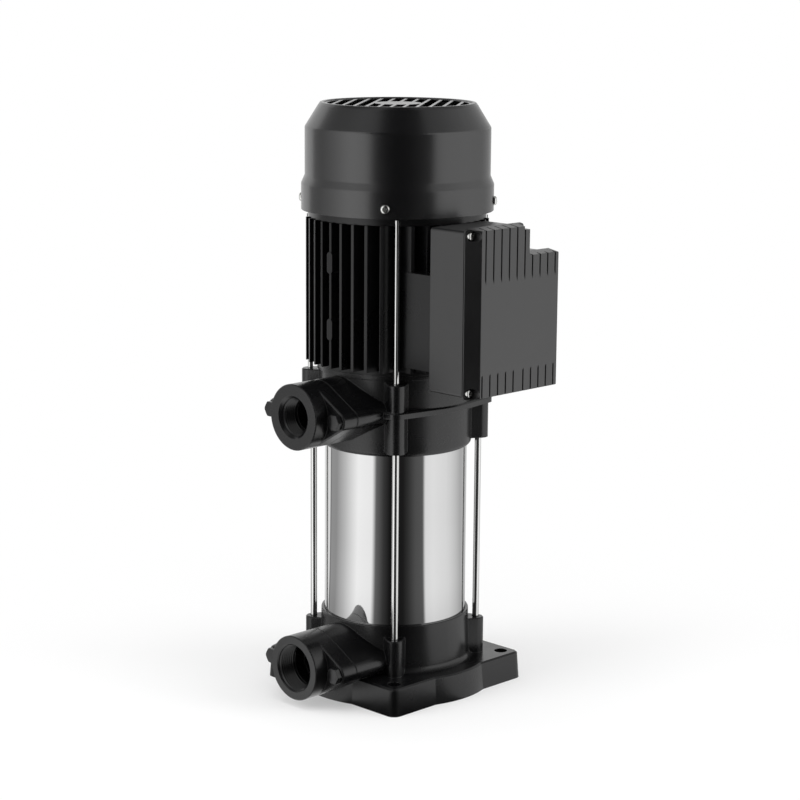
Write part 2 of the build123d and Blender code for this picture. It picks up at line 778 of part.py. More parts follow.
def through_bolts():
    """Thin bolts that clamp the motor down on the delivery casting."""
    seat = neck_top + cover_lug_height
    bottom = lug_top - through_bolt_engagement
    bolts = []
    for angle in diagonals:
        place = Rot(0, 0, angle) * Pos(through_circle_radius, 0, 0)
        shank = disc(through_bolt_radius, bottom, seat)
        head = hexagon(through_head_flats, Plane.XY.offset(seat), through_head_height)
        bolts.append(place * (shank + head))
    return bolts


# ------------------------------------------------------------------ hydraulics
def stage_bottom(stage):
    """Height of the underside of a stage, counted from one."""
    return stack_bottom + (stage - 1) * stage_pitch


def curved_vane(inner_radius, outer_radius, arc_radius, arc_centre, thickness):
    """Plan of one vane: the slice of a thin off-centre ring between two radii."""
    band = Pos(arc_centre, 0) * (Circle(arc_radius + thickness / 2) - Circle(arc_radius - thickness / 2))
    reach = Circle(outer_radius) - Circle(inner_radius)
    half_plane = Pos(0, outer_radius) * Rectangle(4 * outer_radius, 2 * outer_radius)
    return band & reach & half_plane


def stage_casing(stage):
    """Cup that holds one stage, with an inlet eye in its floor."""
    low = stage_bottom(stage)
    eye = neck_radius + running_gap
    return turned(
        (eye, low),
        (stage_radius, low),
        (stage_radius, low + stage_pitch),
        (stage_radius - casing_wall, low + stage_pitch),
        (stage_radius - casing_wall, low + casing_floor),
        (eye_lip_radius, low + casing_floor),
        (eye_lip_radius, low + casing_floor + eye_lip_height),
        (eye, low + casing_floor + eye_lip_height),
    )


def impeller(stage):
    """Closed impeller: neck, two shrouds and backward-curved vanes on a long hub."""
    low = stage_bottom(stage) + impeller_lift
    channel_bottom = stage_bottom(stage) + channel_start
    channel_top = channel_bottom + impeller_channel
    lower_shroud = turned(
        (neck_radius - neck_wall, low),
        (neck_radius, low),
        (neck_radius, channel_bottom - impeller_shroud),
        (impeller_radius, channel_bottom - impeller_shroud),
        (impeller_radius, channel_bottom),
        (neck_radius - neck_wall, channel_bottom),
    )
    hub_bore = shaft_pump_radius + press_gap
    upper = turned(
        (hub_bore, low),
        (hub_radius, low),
        (hub_radius, channel_top),
        (impeller_radius, channel_top),
        (impeller_radius, channel_top + impeller_shroud),
        (hub_radius, channel_top + impeller_shroud),
        (hub_radius, low + stage_pitch),
        (hub_bore, low + stage_pitch),
    )
    plan = curved_vane(
        neck_radius - neck_wall,
        impeller_radius,
        impeller_vane_arc * impeller_radius,
        impeller_vane_centre * impeller_radius,
        impeller_vane_thickness,
    )
    vane = extrude(Plane.XY.offset(channel_bottom) * plan, amount=impeller_channel)
    step = 360 / impeller_vanes
    return lower_shroud + upper + around(vane, [step * k for k in range(impeller_vanes)])


def diffuser(stage):
    """Disc over the impeller with vanes that turn the flow back to the next eye."""
    low = stage_bottom(stage)
    disc_bottom = low + channel_start + impeller_channel + impeller_shroud + diffuser_disc_gap
    disc_top = disc_bottom + diffuser_disc_thickness
    cover = ring(hub_radius + running_gap, diffuser_disc_radius, disc_bottom, disc_top)
    outer = stage_radius - casing_wall - casing_gap
    plan = curved_vane(
        diffuser_eye_radius,
        outer,
        diffuser_vane_arc * outer,
        diffuser_vane_centre * outer,
        diffuser_vane_thickness,
    )
    vane = extrude(Plane.XY.offset(low + casing_floor) * plan, amount=stage_pitch - casing_floor)
    step = 360 / diffuser_vanes
    vanes = Part() + around(vane, [step * k for k in range(diffuser_vanes)])
    vanes -= disc(diffuser_inlet_radius, low, disc_bottom)
    return cover + vanes


def outlet_guide():
    """Spider that passes the stack's clamping load to the delivery casting."""
    wall = ring(stage_radius - casing_wall, stage_radius, stage_top, stack_top)
    hub_inner = hub_radius + running_gap
    hub = ring(hub_inner, hub_inner + guide_hub_wall, stage_top, stage_top + guide_hub_height)
    arm_start = hub_inner + guide_hub_wall / 2
    arm_end = stage_radius - casing_wall / 2
    arm = Pos((arm_start + arm_end) / 2, 0, stage_top + guide_arm_height / 2) * Box(
        arm_end - arm_start, guide_arm_width, guide_arm_height
    )
    step = 360 / guide_arm_count
    return wall + hub + around(arm, [step * k for k in range(guide_arm_count)])


def pump_shaft():
    """One shaft for pump and motor, from the lower bush up to the fan."""
    return turned(
        (0, shaft_end_bottom),
        (shaft_end_radius, shaft_end_bottom),
        (shaft_end_radius, shaft_end_top),
        (shaft_pump_radius, shaft_end_top),
        (shaft_pump_radius, shaft_seal_bottom),
        (shaft_seal_radius, shaft_seal_bottom),
        (shaft_seal_radius, lower_bearing_bottom),
        (bearing_bore_radius, lower_bearing_bottom),
        (bearing_bore_radius, lower_bearing_bottom + bearing_width),
        (shaft_rotor_radius, lower_bearing_bottom + bearing_width),
        (shaft_rotor_radius, upper_bearing_top - bearing_width),
        (bearing_bore_radius, upper_bearing_top - bearing_width),
        (bearing_bore_radius, upper_bearing_top),
        (shaft_fan_radius, upper_bearing_top),
        (shaft_fan_radius, shaft_top),
        (0, shaft_top),
    )


def impeller_nut():
    """Nut that clamps the impellers on the shaft."""
    top = stage_bottom(1) + impeller_lift
    flats = 2 * (shaft_pump_radius + nut_wall)
    body = hexagon(flats, Plane.XY.offset(top - nut_height), nut_height)
    return body - disc(shaft_pump_radius + press_gap, top - nut_height - 1, top + 1)


def impeller_spacer():
    """Sleeve between the last impeller and the shaft's shoulder."""
    bottom = stage_bottom(stage_count) + impeller_lift + stage_pitch
    return ring(shaft_pump_radius + press_gap, hub_radius, bottom, shaft_seal_bottom)


def lower_bush():
    """Plain bearing for the shaft's lower end."""
    return ring(shaft_end_radius + journal_gap, bush_radius, post_top - bush_length, post_top)


def seal_seat():
    """Still ring of the mechanical seal."""
    inner = shaft_seal_radius + 2 * running_gap
    return ring(inner, seal_seat_radius, seal_hub_bottom, seal_hub_bottom + seal_seat_height)


def seal_head():
    """Turning ring of the mechanical seal, with its stepped bellows housing."""
    top = seal_hub_bottom - seal_face_gap
    bottom = shaft_seal_bottom + seal_head_lift
    bore = shaft_seal_radius + press_gap
    housing = shaft_seal_radius + seal_head_thickness
    return turned(
        (bore, bottom),
        (housing, bottom),
        (housing, top - seal_face_height),
        (housing - seal_face_step, top - seal_face_height),
        (housing - seal_face_step, top),
        (bore, top),
    )


def water_slinger():
    """Rubber disc that throws off a leak before it reaches the bearing."""
    bottom = delivery_chamber_top + bracket_web + slinger_lift
    top = bottom + slinger_height
    bore = shaft_seal_radius + press_gap
    return turned(
        (bore, bottom),
        (shaft_seal_radius + slinger_neck, bottom),
        (shaft_seal_radius + slinger_reach, top - slinger_lip),
        (shaft_seal_radius + slinger_reach, top),
        (bore, top),
    )


# ---------------------------------------------------------------------- motor
def bearing_outer(bottom):
    """Outer ring of a ball bearing with its two side seals."""
    lip = bearing_bore_radius + bearing_ring + running_gap
    return turned(
        (lip, bottom),
        (bearing_radius, bottom),
        (bearing_radius, bottom + bearing_width),
        (lip, bottom + bearing_width),
        (lip, bottom + bearing_width - bearing_shield),
        (bearing_radius - bearing_ring, bottom + bearing_width - bearing_shield),
        (bearing_radius - bearing_ring, bottom + bearing_shield),
        (lip, bottom + bearing_shield),
    )


def bearing_inner(bottom):
    """Inner ring of a ball bearing."""
    return ring(
        bearing_bore_radius + press_gap, bearing_bore_radius + bearing_ring, bottom, bottom + bearing_width
    )


def lower_end_shield():
    """Bearing plate between the delivery casting and the motor frame."""
    bore = shaft_rotor_radius + shield_bore_gap
    housing = bearing_radius + bearing_wall
    bearing_top = lower_bearing_bottom + bearing_width
    pocket = motor_pocket_radius - location_gap
    barrel = barrel_inner_radius - press_gap
    barrel_spigot = barrel_inner_radius - end_shield_spigot_wall
    return turned(
        (bore, collar_top - bearing_cap),
        (housing, collar_top - bearing_cap),
        (housing, collar_top),
        (pocket - end_shield_spigot_wall, collar_top),
        (pocket - end_shield_spigot_wall, collar_top - end_shield_spigot),
        (pocket, collar_top - end_shield_spigot),
        (pocket, collar_top),
        (delivery_collar_radius, collar_top),
        (delivery_collar_radius, motor_bottom),
        (barrel, motor_bottom),
        (barrel, motor_bottom + end_shield_spigot),
        (barrel_spigot, motor_bottom + end_shield_spigot),
        (barrel_spigot, motor_bottom + end_shield_floor),
        (housing, motor_bottom + end_shield_floor),
        (housing, bearing_top),
        (bearing_radius + press_gap, bearing_top),
        (bearing_radius + press_gap, lower_bearing_bottom),
        (bore, lower_bearing_bottom),
    )


def fin_plan():
    """Plan of the cooling fins on the +X side, clear of the barrel's bore."""
    rows = Sketch()
    reach = fin_tip_radius
    for row in range(-fin_rows, fin_rows + 1):
        rows += Pos(reach / 2, row * fin_pitch) * Rectangle(reach, fin_thickness)
    hollow = Circle((barrel_inner_radius + barrel_outer_radius) / 2)
    beside = Pos(reach / 2, 0) * Rectangle(reach, 2 * fin_tip_radius)
    return (rows & Circle(fin_tip_radius) & beside) - hollow


def motor_frame():
    """Finned barrel with the pad that carries the terminal box."""
    quadrants = Sketch() + around(fin_plan(), [90 * k for k in range(4)])
    section = quadrants + (Circle(barrel_outer_radius) - Circle(barrel_inner_radius))
    frame = extrude(Plane.XY.offset(motor_bottom) * section, amount=motor_length)
    frame += Pos(box_back / 2, 0, pad_middle) * Box(
        box_back, 2 * pad_half_width, pad_top - pad_bottom
    )
    frame -= disc(barrel_inner_radius, motor_bottom - 1, motor_top + 1)
    frame -= from_box(Pos(0, cable_way_height) * Circle(cable_way_radius), 0, box_back + 1)
    # two oblong bosses on the middle fin of the port side
    middle = (motor_bottom + motor_top) / 2
    boss = Rot(0, 0, 90) * SlotOverall(fin_boss_length, fin_boss_width)
    root = (barrel_inner_radius + barrel_outer_radius) / 2
    for height in (middle - fin_boss_spacing / 2, middle + fin_boss_spacing / 2):
        frame += along_port(boss, root, fin_tip_radius + fin_boss_reach, height)
    return frame


def upper_end_shield():
    """Bearing plate under the fan, with the lugs that the fan cover screws into."""
    housing = bearing_radius + bearing_wall
    bore = shaft_fan_radius + shaft_opening
    pocket_bottom = upper_bearing_top - bearing_width
    roof = upper_bearing_top + bearing_cap
    barrel = barrel_inner_radius - press_gap
    barrel_spigot = barrel_inner_radius - end_shield_spigot_wall
    shell = turned(
        (bore, upper_bearing_top),
        (bearing_radius + press_gap, upper_bearing_top),
        (bearing_radius + press_gap, pocket_bottom),
        (housing, pocket_bottom),
        (housing, motor_top + upper_shield_floor),
        (barrel_spigot, motor_top + upper_shield_floor),
        (barrel_spigot, motor_top - end_shield_spigot),
        (barrel, motor_top - end_shield_spigot),
        (barrel, motor_top),
        (neck_ring_radius, motor_top),
        (neck_ring_radius, neck_top),
        (barrel_inner_radius, neck_top),
        (housing, roof),
        (bore, roof),
    )
    lug_outer = cover_skirt_radius - cover_wall - press_gap
    lug_inner = neck_ring_radius - cover_lug_depth
    lug_section = (Circle(lug_outer) - Circle(lug_inner)) & (
        Pos(lug_outer / 2, 0) * Rectangle(lug_outer, cover_lug_width)
    )
    lug = extrude(Plane.XY.offset(neck_top - 1) * lug_section, amount=cover_lug_height + 1)
    shield = shell + around(lug, [angle + cover_turn / 2 for angle in diagonals])
    for angle in diagonals:
        place = Rot(0, 0, angle) * Pos(through_circle_radius, 0, 0)
        shield -= place * disc(
            through_bolt_radius + through_hole_gap, motor_top - 1, neck_top + cover_lug_height + 1
        )
        shield -= cover_screw_shape(angle + cover_turn, cover_screw_radius + press_gap, False)
    return shield


def stator_core():
    return ring(stator_bore_radius, barrel_inner_radius - press_gap, stator_bottom, stator_top)


def stator_windings():
    """The copper end turns below and above the core."""
    bottom = stator_bottom - winding_overhang
    top = stator_top + winding_overhang
    lower = ring(winding_inner_radius, winding_outer_radius, bottom, stator_bottom)
    upper = ring(winding_inner_radius, winding_outer_radius, stator_top, top)
    return [lower, upper]


def rotor_core():
    """Laminated rotor with a cast end ring at each end."""
    radius = stator_bore_radius - air_gap
    bore = shaft_rotor_radius + press_gap
    inner = radius - rotor_end_width
    return turned(
        (bore, stator_bottom),
        (inner, stator_bottom),
        (inner, stator_bottom - rotor_end_ring),
        (radius - rotor_end_slope, stator_bottom - rotor_end_ring),
        (radius, stator_bottom),
        (radius, stator_top),
        (radius - rotor_end_slope, stator_top + rotor_end_ring),
        (inner, stator_top + rotor_end_ring),
        (inner, stator_top),
        (bore, stator_top),
    )


# --------------------------------------------------------------------- fan end
def cooling_fan():
    """Radial fan on the shaft's upper end."""
    hub_bottom = fan_bottom - fan_hub_drop
    bore = shaft_fan_radius + press_gap
    hub = ring(bore, fan_hub_radius, hub_bottom, fan_bottom + fan_hub_rise)
    back = ring(bore, fan_radius, fan_bottom, fan_bottom + fan_disc_thickness)
    span = fan_radius - fan_blade_inner
    blade = Pos(fan_blade_inner + span / 2, 0, fan_bottom + fan_height / 2) * Box(
        span, fan_blade_thickness, fan_height
    )
    step = 360 / fan_blades
    fan = hub + back + around(blade, [step * k for k in range(fan_blades)])
    # blades' outer corners follow the disc's rim
    return fan & disc(fan_radius, hub_bottom, fan_bottom + fan_height)


def fan_cover():
    """Pressed cover: skirt, flare, body, crown and a sunk grille of parallel bars."""
    flare_start = cover_bottom + cover_skirt_height
    flare_end = flare_start + cover_flare_height
    crown_start = flare_end + cover_body_height
    crown_end = crown_start + cover_crown_height
    grille_top = cover_top - cover_rim_height
    grille_bottom = grille_top - cover_wall
    outline = FilletPolyline(
        (0, grille_bottom),
        (cover_top_radius - cover_wall, grille_bottom),
        (cover_crown_radius - cover_wall, crown_end - cover_wall),
        (cover_body_radius - cover_wall, crown_start),
        (cover_body_radius - cover_wall, flare_end),
        (cover_skirt_radius - cover_wall, flare_start),
        (cover_skirt_radius - cover_wall, cover_bottom),
        (cover_skirt_radius, cover_bottom),
        (cover_skirt_radius, flare_start),
        (cover_body_radius, flare_end),
        (cover_body_radius, crown_start),
        (cover_crown_radius, crown_end),
        (cover_top_radius, cover_top),
        (grille_seat_radius, cover_top),
        (grille_seat_radius, grille_top),
        (0, grille_top),
        radius=[0, 0, 0] + [cover_bend_radius] * 3 + [0, 0] + [cover_bend_radius] * 3
        + [0, cover_rim_fillet, cover_rim_fillet, 0, 0],
        close=True,
    )
    shell = revolve(Plane.XZ * make_face(outline), Axis.Z)
    slots = Sketch()
    rows = math.ceil(grille_radius / grille_pitch)
    for row in range(-rows, rows):
        slots += Pos(0, (row + 0.5) * grille_pitch) * Rectangle(
            2 * grille_radius, grille_pitch - grille_bar
        )
    slots = (slots & Circle(grille_radius)) - Circle(grille_hub_radius)
    cut = extrude(Plane.XY.offset(grille_bottom - 1) * slots, amount=cover_wall + 2)
    cover = shell - Rot(0, 0, -45 + cover_turn) * cut
    hole = cover_screw_radius + cover_screw_hole_gap
    for angle in diagonals:
        cover -= cover_screw_shape(angle + cover_turn, hole, False)
    return cover


def cover_screw_shape(angle, radius, headed):
    """One fan cover screw, pointing out of the cover at an angle round the shaft."""
    height = cover_bottom + cover_screw_height
    inner = cover_skirt_radius - cover_screw_length
    plane = Plane(origin=(inner, 0, height), x_dir=(0, 1, 0), z_dir=(1, 0, 0))
    screw = extrude(plane * Circle(radius), amount=cover_screw_length + 1)
    if headed:
        crown = cover_skirt_radius + press_gap
        dome = FilletPolyline(
            (0, crown),
            (cover_screw_head_radius, crown),
            (cover_screw_head_radius, crown + cover_screw_head_height),
            (0, crown + cover_screw_head_height),
            radius=[0, 0, cover_screw_head_height * cover_screw_dome, 0],
            close=True,
        )
        head = revolve(make_face(dome), Axis.Y)
        turn = Location((0, 0, height), (0, 0, -90))
        screw += turn * head
    return Rot(0, 0, angle) * screw


def cover_screws():
    return [cover_screw_shape(angle + cover_turn, cover_screw_radius, True) for angle in diagonals]


# ---------------------------------------------------------------- terminal box
def box_plan(half_width, bottom, top, floor, start):
    """Front outline of the terminal box, with its upper rear corner notched away."""
    outline = FilletPolyline(
        (-half_width, bottom),
        (half_width, bottom),
        (half_width, floor),
        (start, floor),
        (start, top),
        (-half_width, top),
        radius=[box_corner, box_corner, box_corner, notch_corner, box_corner, box_corner],
        close=True,
    )
    return make_face(outline)


def box_hollow():
    """Outline of the space inside the box's walls."""
    return box_plan(
        box_half_width - box_wall,
        box_bottom + box_wall,
        box_top - box_wall,
        notch_floor - box_wall,
        notch_start - box_wall,
    )


def from_box(sketch, near, far, lean=0):
    """An outline in the YZ plane swept out along X, drawn in by a lean in degrees."""
    plane = Plane(origin=(near, 0, 0), x_dir=(0, 1, 0), z_dir=(1, 0, 0))
    return extrude(plane * sketch, amount=far - near, taper=lean)


def lid_screw_places():
    """Centres of the two lid screws, as (across, height)."""
    return [
        (-lid_screw_offset, box_bottom + lid_screw_inset),
        (-lid_screw_offset, box_top - lid_screw_inset),
    ]


def terminal_box():
    """Box body screwed to the motor's pad, open at the front."""
    outside = box_plan(box_half_width, box_bottom, box_top, notch_floor, notch_start)
    body = from_box(outside, box_back, box_front)
    body -= from_box(box_hollow(), box_back + box_wall, box_front + 1)
    tapped_end = lid_screw_floor - lid_screw_length - lid_screw_spare
    for across, height in lid_screw_places():
        toward = math.copysign(pillar_offset, box_bottom + box_top - 2 * height)
        pillar = Pos(across + pillar_offset, height + toward) * Rectangle(pillar_side, pillar_side)
        body += from_box(pillar & outside, box_back + 1, box_front)
        tapped = Pos(across, height) * Circle(lid_screw_radius + press_gap)
        body -= from_box(tapped, tapped_end, box_front + 1)
    way = Pos(0, cable_way_height) * Circle(cable_way_radius)
    body -= from_box(way, box_back - 1, box_back + box_wall + 1)
    body -= gland_bar(gland_thread_radius + press_gap, box_half_width - box_wall - 1, box_half_width + 1)
    return body


def box_gasket():
    """Rubber frame between box and lid."""
    outer = box_plan(
        box_half_width - gasket_inset,
        box_bottom + gasket_inset,
        box_top - gasket_inset,
        notch_floor - gasket_inset,
        notch_start - gasket_inset,
    )
    frame = outer - box_hollow()
    for across, height in lid_screw_places():
        frame -= Pos(across, height) * Circle(lid_screw_radius + lid_screw_hole_gap)
    return from_box(frame, box_front, lid_back)


def terminal_box_lid():
    """Deep lid with a bevelled edge and tapering grooves at top and bottom."""
    front_view = box_plan(
        lid_half_width, lid_bottom, lid_top, notch_floor + lid_upper_margin, notch_start + lid_margin
    )
    lean = math.degrees(math.atan(lid_draft / lid_depth))
    lid = from_box(front_view, lid_back, lid_front, lean)
    corner = make_face(
        Polyline(
            (lid_front - lid_chamfer_depth, -lid_half_width - 1),
            (lid_front - lid_chamfer_depth, -lid_half_width),
            (lid_front, -lid_half_width + lid_chamfer_width),
            (lid_front + 1, -lid_half_width + lid_chamfer_width),
            (lid_front + 1, -lid_half_width - 1),
            close=True,
        )
    )
    lid -= extrude(Plane.XY.offset(lid_bottom - 1) * corner, amount=lid_top - lid_bottom + 2)
    land = Pos(-lid_half_width, (lid_bottom + lid_top) / 2) * Rectangle(
        2 * (lid_chamfer_width + lid_rim_land), 2 * (lid_top - lid_bottom)
    )
    lid -= from_box(box_hollow() - land, lid_back - 1, lid_back + lid_rim)
    for row in range(lid_groove_count):
        across = lid_groove_first + row * lid_groove_pitch
        lid -= lid_groove(across, lid_top, -lid_groove_fall)
        shift = lid_lower_groove_shift if row < lid_lower_shifted else 0
        lid -= lid_groove(across + shift, lid_bottom, lid_lower_groove_fall)
    # the last rib beside the notch ends lower than the rest
    last_groove = lid_groove_first + lid_groove_pitch * math.floor(
        (notch_start - lid_groove_first) / lid_groove_pitch
    )
    step_start = last_groove + lid_groove_width / 2
    step_end = notch_start + lid_margin + 1
    step = Pos((step_start + step_end) / 2, lid_top) * Rectangle(step_end - step_start, 2 * lid_step)
    lid -= from_box(step, lid_back + lid_step_land, lid_front + 1)
    for across, height in lid_screw_places():
        spot = Pos(across, height)
        lid -= from_box(spot * Circle(lid_screw_pocket), lid_screw_floor, lid_front + 1)
        shank = spot * Circle(lid_screw_radius + lid_screw_hole_gap)
        lid -= from_box(shank, lid_back - 1, lid_screw_floor + 1)
    return lid


def lid_groove(across, edge, fall):
    """Groove that is deepest at an edge of the lid and runs out to nothing."""
    away = -math.copysign(2, fall)
    plane = Plane(origin=(0, across - lid_groove_width / 2, 0), x_dir=(1, 0, 0), z_dir=(0, -1, 0))
    slope = lid_groove_depth / abs(fall)
    wedge = make_face(
        Polyline(
            (lid_front + 1, edge + away),
            (lid_front - lid_groove_depth - 2 * slope, edge + away),
            (lid_front, edge + fall),
            (lid_front + 1, edge + fall),
            close=True,
        )
    )
    return extrude(plane * wedge, amount=-lid_groove_width)


def lid_screws():
    screws = []
    for across, height in lid_screw_places():
        place = Pos(across, height)
        shank_end = lid_screw_floor - lid_screw_length
        shank = from_box(place * Circle(lid_screw_radius), shank_end, lid_screw_floor)
        head_end = lid_screw_floor + lid_screw_head_height
        head = from_box(place * Circle(lid_screw_head_radius), lid_screw_floor, head_end)
        front_edge = head.faces().sort_by(Axis.X)[-1].edges()
        screws.append(shank + chamfer(front_edge, lid_screw_head_edge))
    return screws


def gland_bar(radius, near, far):
    """A round bar along the gland's axis, out of the box's rear side."""
    return gland_prism(Circle(radius), near, far)


def gland_prism(section, near, far):
    """A section swept along the gland's axis."""
    middle = (box_back + box_front) / 2
    plane = Plane(origin=(middle, near, gland_height), x_dir=(-1, 0, 0), z_dir=(0, 1, 0))
    return extrude(plane * section, amount=far - near)


def cable_gland():
    """Screwed gland with a domed cap; its bore takes the supply cable."""
    seat = box_half_width
    hexagon_end = seat + gland_hex
    cap_end = hexagon_end + gland_cap_length
    thread_end = seat - box_wall - gland_thread_spare
    thread = gland_bar(gland_thread_radius, thread_end, seat)
    flats = gland_prism(RegularPolygon(gland_flats / 2, 6, major_radius=False), seat, hexagon_end)
    cap = gland_bar(gland_cap_radius, hexagon_end, cap_end)
    cap = chamfer(cap.faces().sort_by(Axis.Y)[-1].edges(), gland_cap_edge)
    return thread + flats + cap - gland_bar(gland_bore_radius, thread_end - 1, cap_end + 1)


def gland_nut():
    """Lock nut of the gland, inside the box."""
    seat = box_half_width - box_wall
    plan = RegularPolygon(gland_flats / 2, 6, major_radius=False)
    thread = Circle(gland_thread_radius + press_gap)
    return gland_prism(plan - thread, seat - gland_nut_height, seat)


def terminal_block():
    """Moulded block with its row of terminal posts."""
    back = box_back + box_wall
    middle = pad_middle + block_rise
    block = Pos(back + block_depth / 2, block_offset, middle) * Box(block_depth, block_width, block_height)
    posts = Part()
    for row in (-1, 0, 1):
        for column in (-1, 1):
            across = block_offset + column * block_post_spread
            place = Pos(across, middle + row * block_post_pitch)
            post_end = back + block_depth + block_post_height
            posts += from_box(place * Circle(block_post_radius), back + block_depth - 1, post_end)
    return block + posts


def capacitor():
    """Run capacitor lying upright beside the terminal block."""
    centre_x = box_back + box_wall + capacitor_radius
    bottom = pad_middle - capacitor_length / 2
    top = pad_middle + capacitor_length / 2
    can = disc(capacitor_radius, bottom, top)
    stud = disc(capacitor_stud_radius, top - 1, top + capacitor_stud_height)
    return Pos(centre_x, capacitor_offset, 0) * (can + stud)


# ----------------------------------------------------------------------- nodes
nodes = {
    "base_casting": base_casting(),
    "suction_flange": port_flange(
        suction_axis_height, suction_thread_radius, suction_bore_radius, suction_mouth_chamfer
    ),
    "suction_flange_bolts": port_bolts(suction_axis_height),
    "suction_flange_seal": port_seal(suction_axis_height, suction_bore_radius),
    "drain_plug": pipe_plug(base_foot_radius, drain_plug_height),
    "outer_sleeve": outer_sleeve(),
    "lower_sleeve_seal": sleeve_seal(lower_groove_bottom),
    "upper_sleeve_seal": sleeve_seal(upper_groove_bottom),
    "tie_bolts": tie_bolts(),
    "delivery_casting": delivery_casting(),
    "delivery_flange": port_flange(
        delivery_axis_height, delivery_thread_radius, delivery_bore_radius, delivery_mouth_chamfer
    ),
    "delivery_flange_bolts": port_bolts(delivery_axis_height),
    "delivery_flange_seal": port_seal(delivery_axis_height, delivery_bore_radius),
    "vent_plug": pipe_plug(delivery_skirt_radius, vent_plug_height),
    "outlet_guide": outlet_guide(),
    "lower_bush": lower_bush(),
    "pump_shaft": pump_shaft(),
    "impeller_nut": impeller_nut(),
    "impeller_spacer": impeller_spacer(),
    "seal_seat": seal_seat(),
    "seal_head": seal_head(),
    "water_slinger": water_slinger(),
    "lower_end_shield": lower_end_shield(),
    "lower_bearing_outer": bearing_outer(lower_bearing_bottom),
    "lower_bearing_inner": bearing_inner(lower_bearing_bottom),
    "motor_frame": motor_frame(),
    "stator_core": stator_core(),
    "stator_windings": stator_windings(),
    "rotor_core": rotor_core(),
    "upper_end_shield": upper_end_shield(),
    "upper_bearing_outer": bearing_outer(upper_bearing_top - bearing_width),
    "upper_bearing_inner": bearing_inner(upper_bearing_top - bearing_width),
    "motor_through_bolts": through_bolts(),
    "cooling_fan": cooling_fan(),
    "fan_cover": fan_cover(),
    "fan_cover_screws": cover_screws(),
    "terminal_box": terminal_box(),
    "terminal_box_gasket": box_gasket(),
    "terminal_box_lid": terminal_box_lid(),
    "terminal_box_screws": lid_screws(),
    "terminal_block": terminal_block(),
    "capacitor": capacitor(),
    "cable_gland": cable_gland(),
    "gland_nut": gland_nut(),
}
for stage in range(1, stage_count + 1):
    nodes[f"stage_casing_{stage}"] = stage_casing(stage)
    nodes[f"impeller_{stage}"] = impeller(stage)
    nodes[f"diffuser_{stage}"] = diffuser(stage)

for name, shape in nodes.items():
    pieces = shape if isinstance(shape, list) else [shape]
    solids = [solid for piece in pieces for solid in piece.solids()]
    body = solids[0] if len(solids) == 1 else Compound(children=solids)
    body.label = name
    export_step(body, f"parts/{name}.step")
print(len(nodes), "nodes written")
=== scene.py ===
import bpy
import bmesh
import json
import math
from mathutils import Matrix, Vector


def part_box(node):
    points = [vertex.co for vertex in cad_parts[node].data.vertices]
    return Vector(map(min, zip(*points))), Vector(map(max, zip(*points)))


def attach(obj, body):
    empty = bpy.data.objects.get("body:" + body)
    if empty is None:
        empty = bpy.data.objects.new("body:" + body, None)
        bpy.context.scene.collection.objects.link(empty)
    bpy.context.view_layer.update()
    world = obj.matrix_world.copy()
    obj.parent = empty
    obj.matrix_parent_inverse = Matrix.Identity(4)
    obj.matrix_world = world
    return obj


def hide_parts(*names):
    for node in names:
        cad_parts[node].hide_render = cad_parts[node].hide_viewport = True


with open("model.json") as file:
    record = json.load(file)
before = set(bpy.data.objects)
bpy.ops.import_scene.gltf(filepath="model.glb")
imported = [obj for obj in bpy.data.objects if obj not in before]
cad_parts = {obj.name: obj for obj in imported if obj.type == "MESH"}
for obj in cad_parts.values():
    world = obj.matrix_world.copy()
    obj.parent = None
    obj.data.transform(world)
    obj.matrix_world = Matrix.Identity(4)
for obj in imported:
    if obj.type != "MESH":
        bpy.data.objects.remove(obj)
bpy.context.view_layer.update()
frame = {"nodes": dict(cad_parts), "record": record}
print("frame loaded:", len(frame["nodes"]), "nodes")


def deselectAll():
    if bpy.context.object and bpy.context.object.mode != "OBJECT":
        bpy.ops.object.mode_set(mode="OBJECT")
    bpy.ops.object.select_all(action="DESELECT")


def pickOnly(*objects):
    deselectAll()
    for thing in objects:
        thing.select_set(True)
    bpy.context.view_layer.objects.active = objects[-1]


def toMesh(thing):
    # place and turn go into the vertices, as on a CAD node
    pickOnly(thing)
    bpy.ops.object.transform_apply(location=True, rotation=True, scale=True)


studio = {
    "floorSize": 12.0,
    "floorCuts": 3,
    "floorColour": (0.86, 0.86, 0.86, 1),
    "cameraDistance": 1.977,
    "cameraHeight": 0.662,
    "cameraTurn": 45.0,
    "cameraPitch": 11.424,
    "cameraYaw": 0.100,
    "cameraRoll": 0.397,
    "lens": 99.64,
    "sensorWidth": 36,
    "clipEnd": 50,
    "softboxPower": 22.0,
    # to the camera's right, towards the camera, height, width and length, share of the power
    "softboxes": {
        "leftSoftbox": (-1.5, 0.7, 0.75, (1.0, 1.6), 1.0),
        "rightSoftbox": (1.6, 0.4, 0.75, (1.0, 1.6), 0.85),
        "topSoftbox": (0.0, 0.2, 2.1, (1.8, 1.8), 1.1),
    },
    "softboxAim": (0, 0, 0.27),
    "worldLevel": 0.42,
    "backdropLevel": 1.0,
    # where the floor's shadow starts and stops fading, from the axis out, and its share close in
    "shadowReach": (0.20, 0.52),
    "shadowShare": 0.6,
    # where the floor's painted shade in reflections starts and stops fading, and the share of
    # brightness left close in
    "dimReach": (0.08, 0.42),
    "reflectedShadeShare": 0.65,
    # reflected studio as brightness against the angle from the camera's side, in degrees
    "reflection": [
        (-180, 1.00), (-150, 0.90), (-128, 1.10), (-125.5, 0.15), (-122, 0.45), (-106, 0.44),
        (-85, 0.82), (-60, 1.45), (-36, 1.36), (-30, 0.20), (-18, 0.06), (-8, 0.012),
        (12, 0.018), (20, 0.05), (31, 0.12), (43, 0.15), (47, 1.15), (60, 1.22),
        (90, 1.10), (110, 0.85), (125, 0.62), (150, 0.60), (180, 1.00),
    ],
    # height of a direction where that brightness starts and stops falling, and the share left
    "ceiling": (0.35, 0.85, 0.30),
}
cameraAngle = math.radians(studio["cameraTurn"])
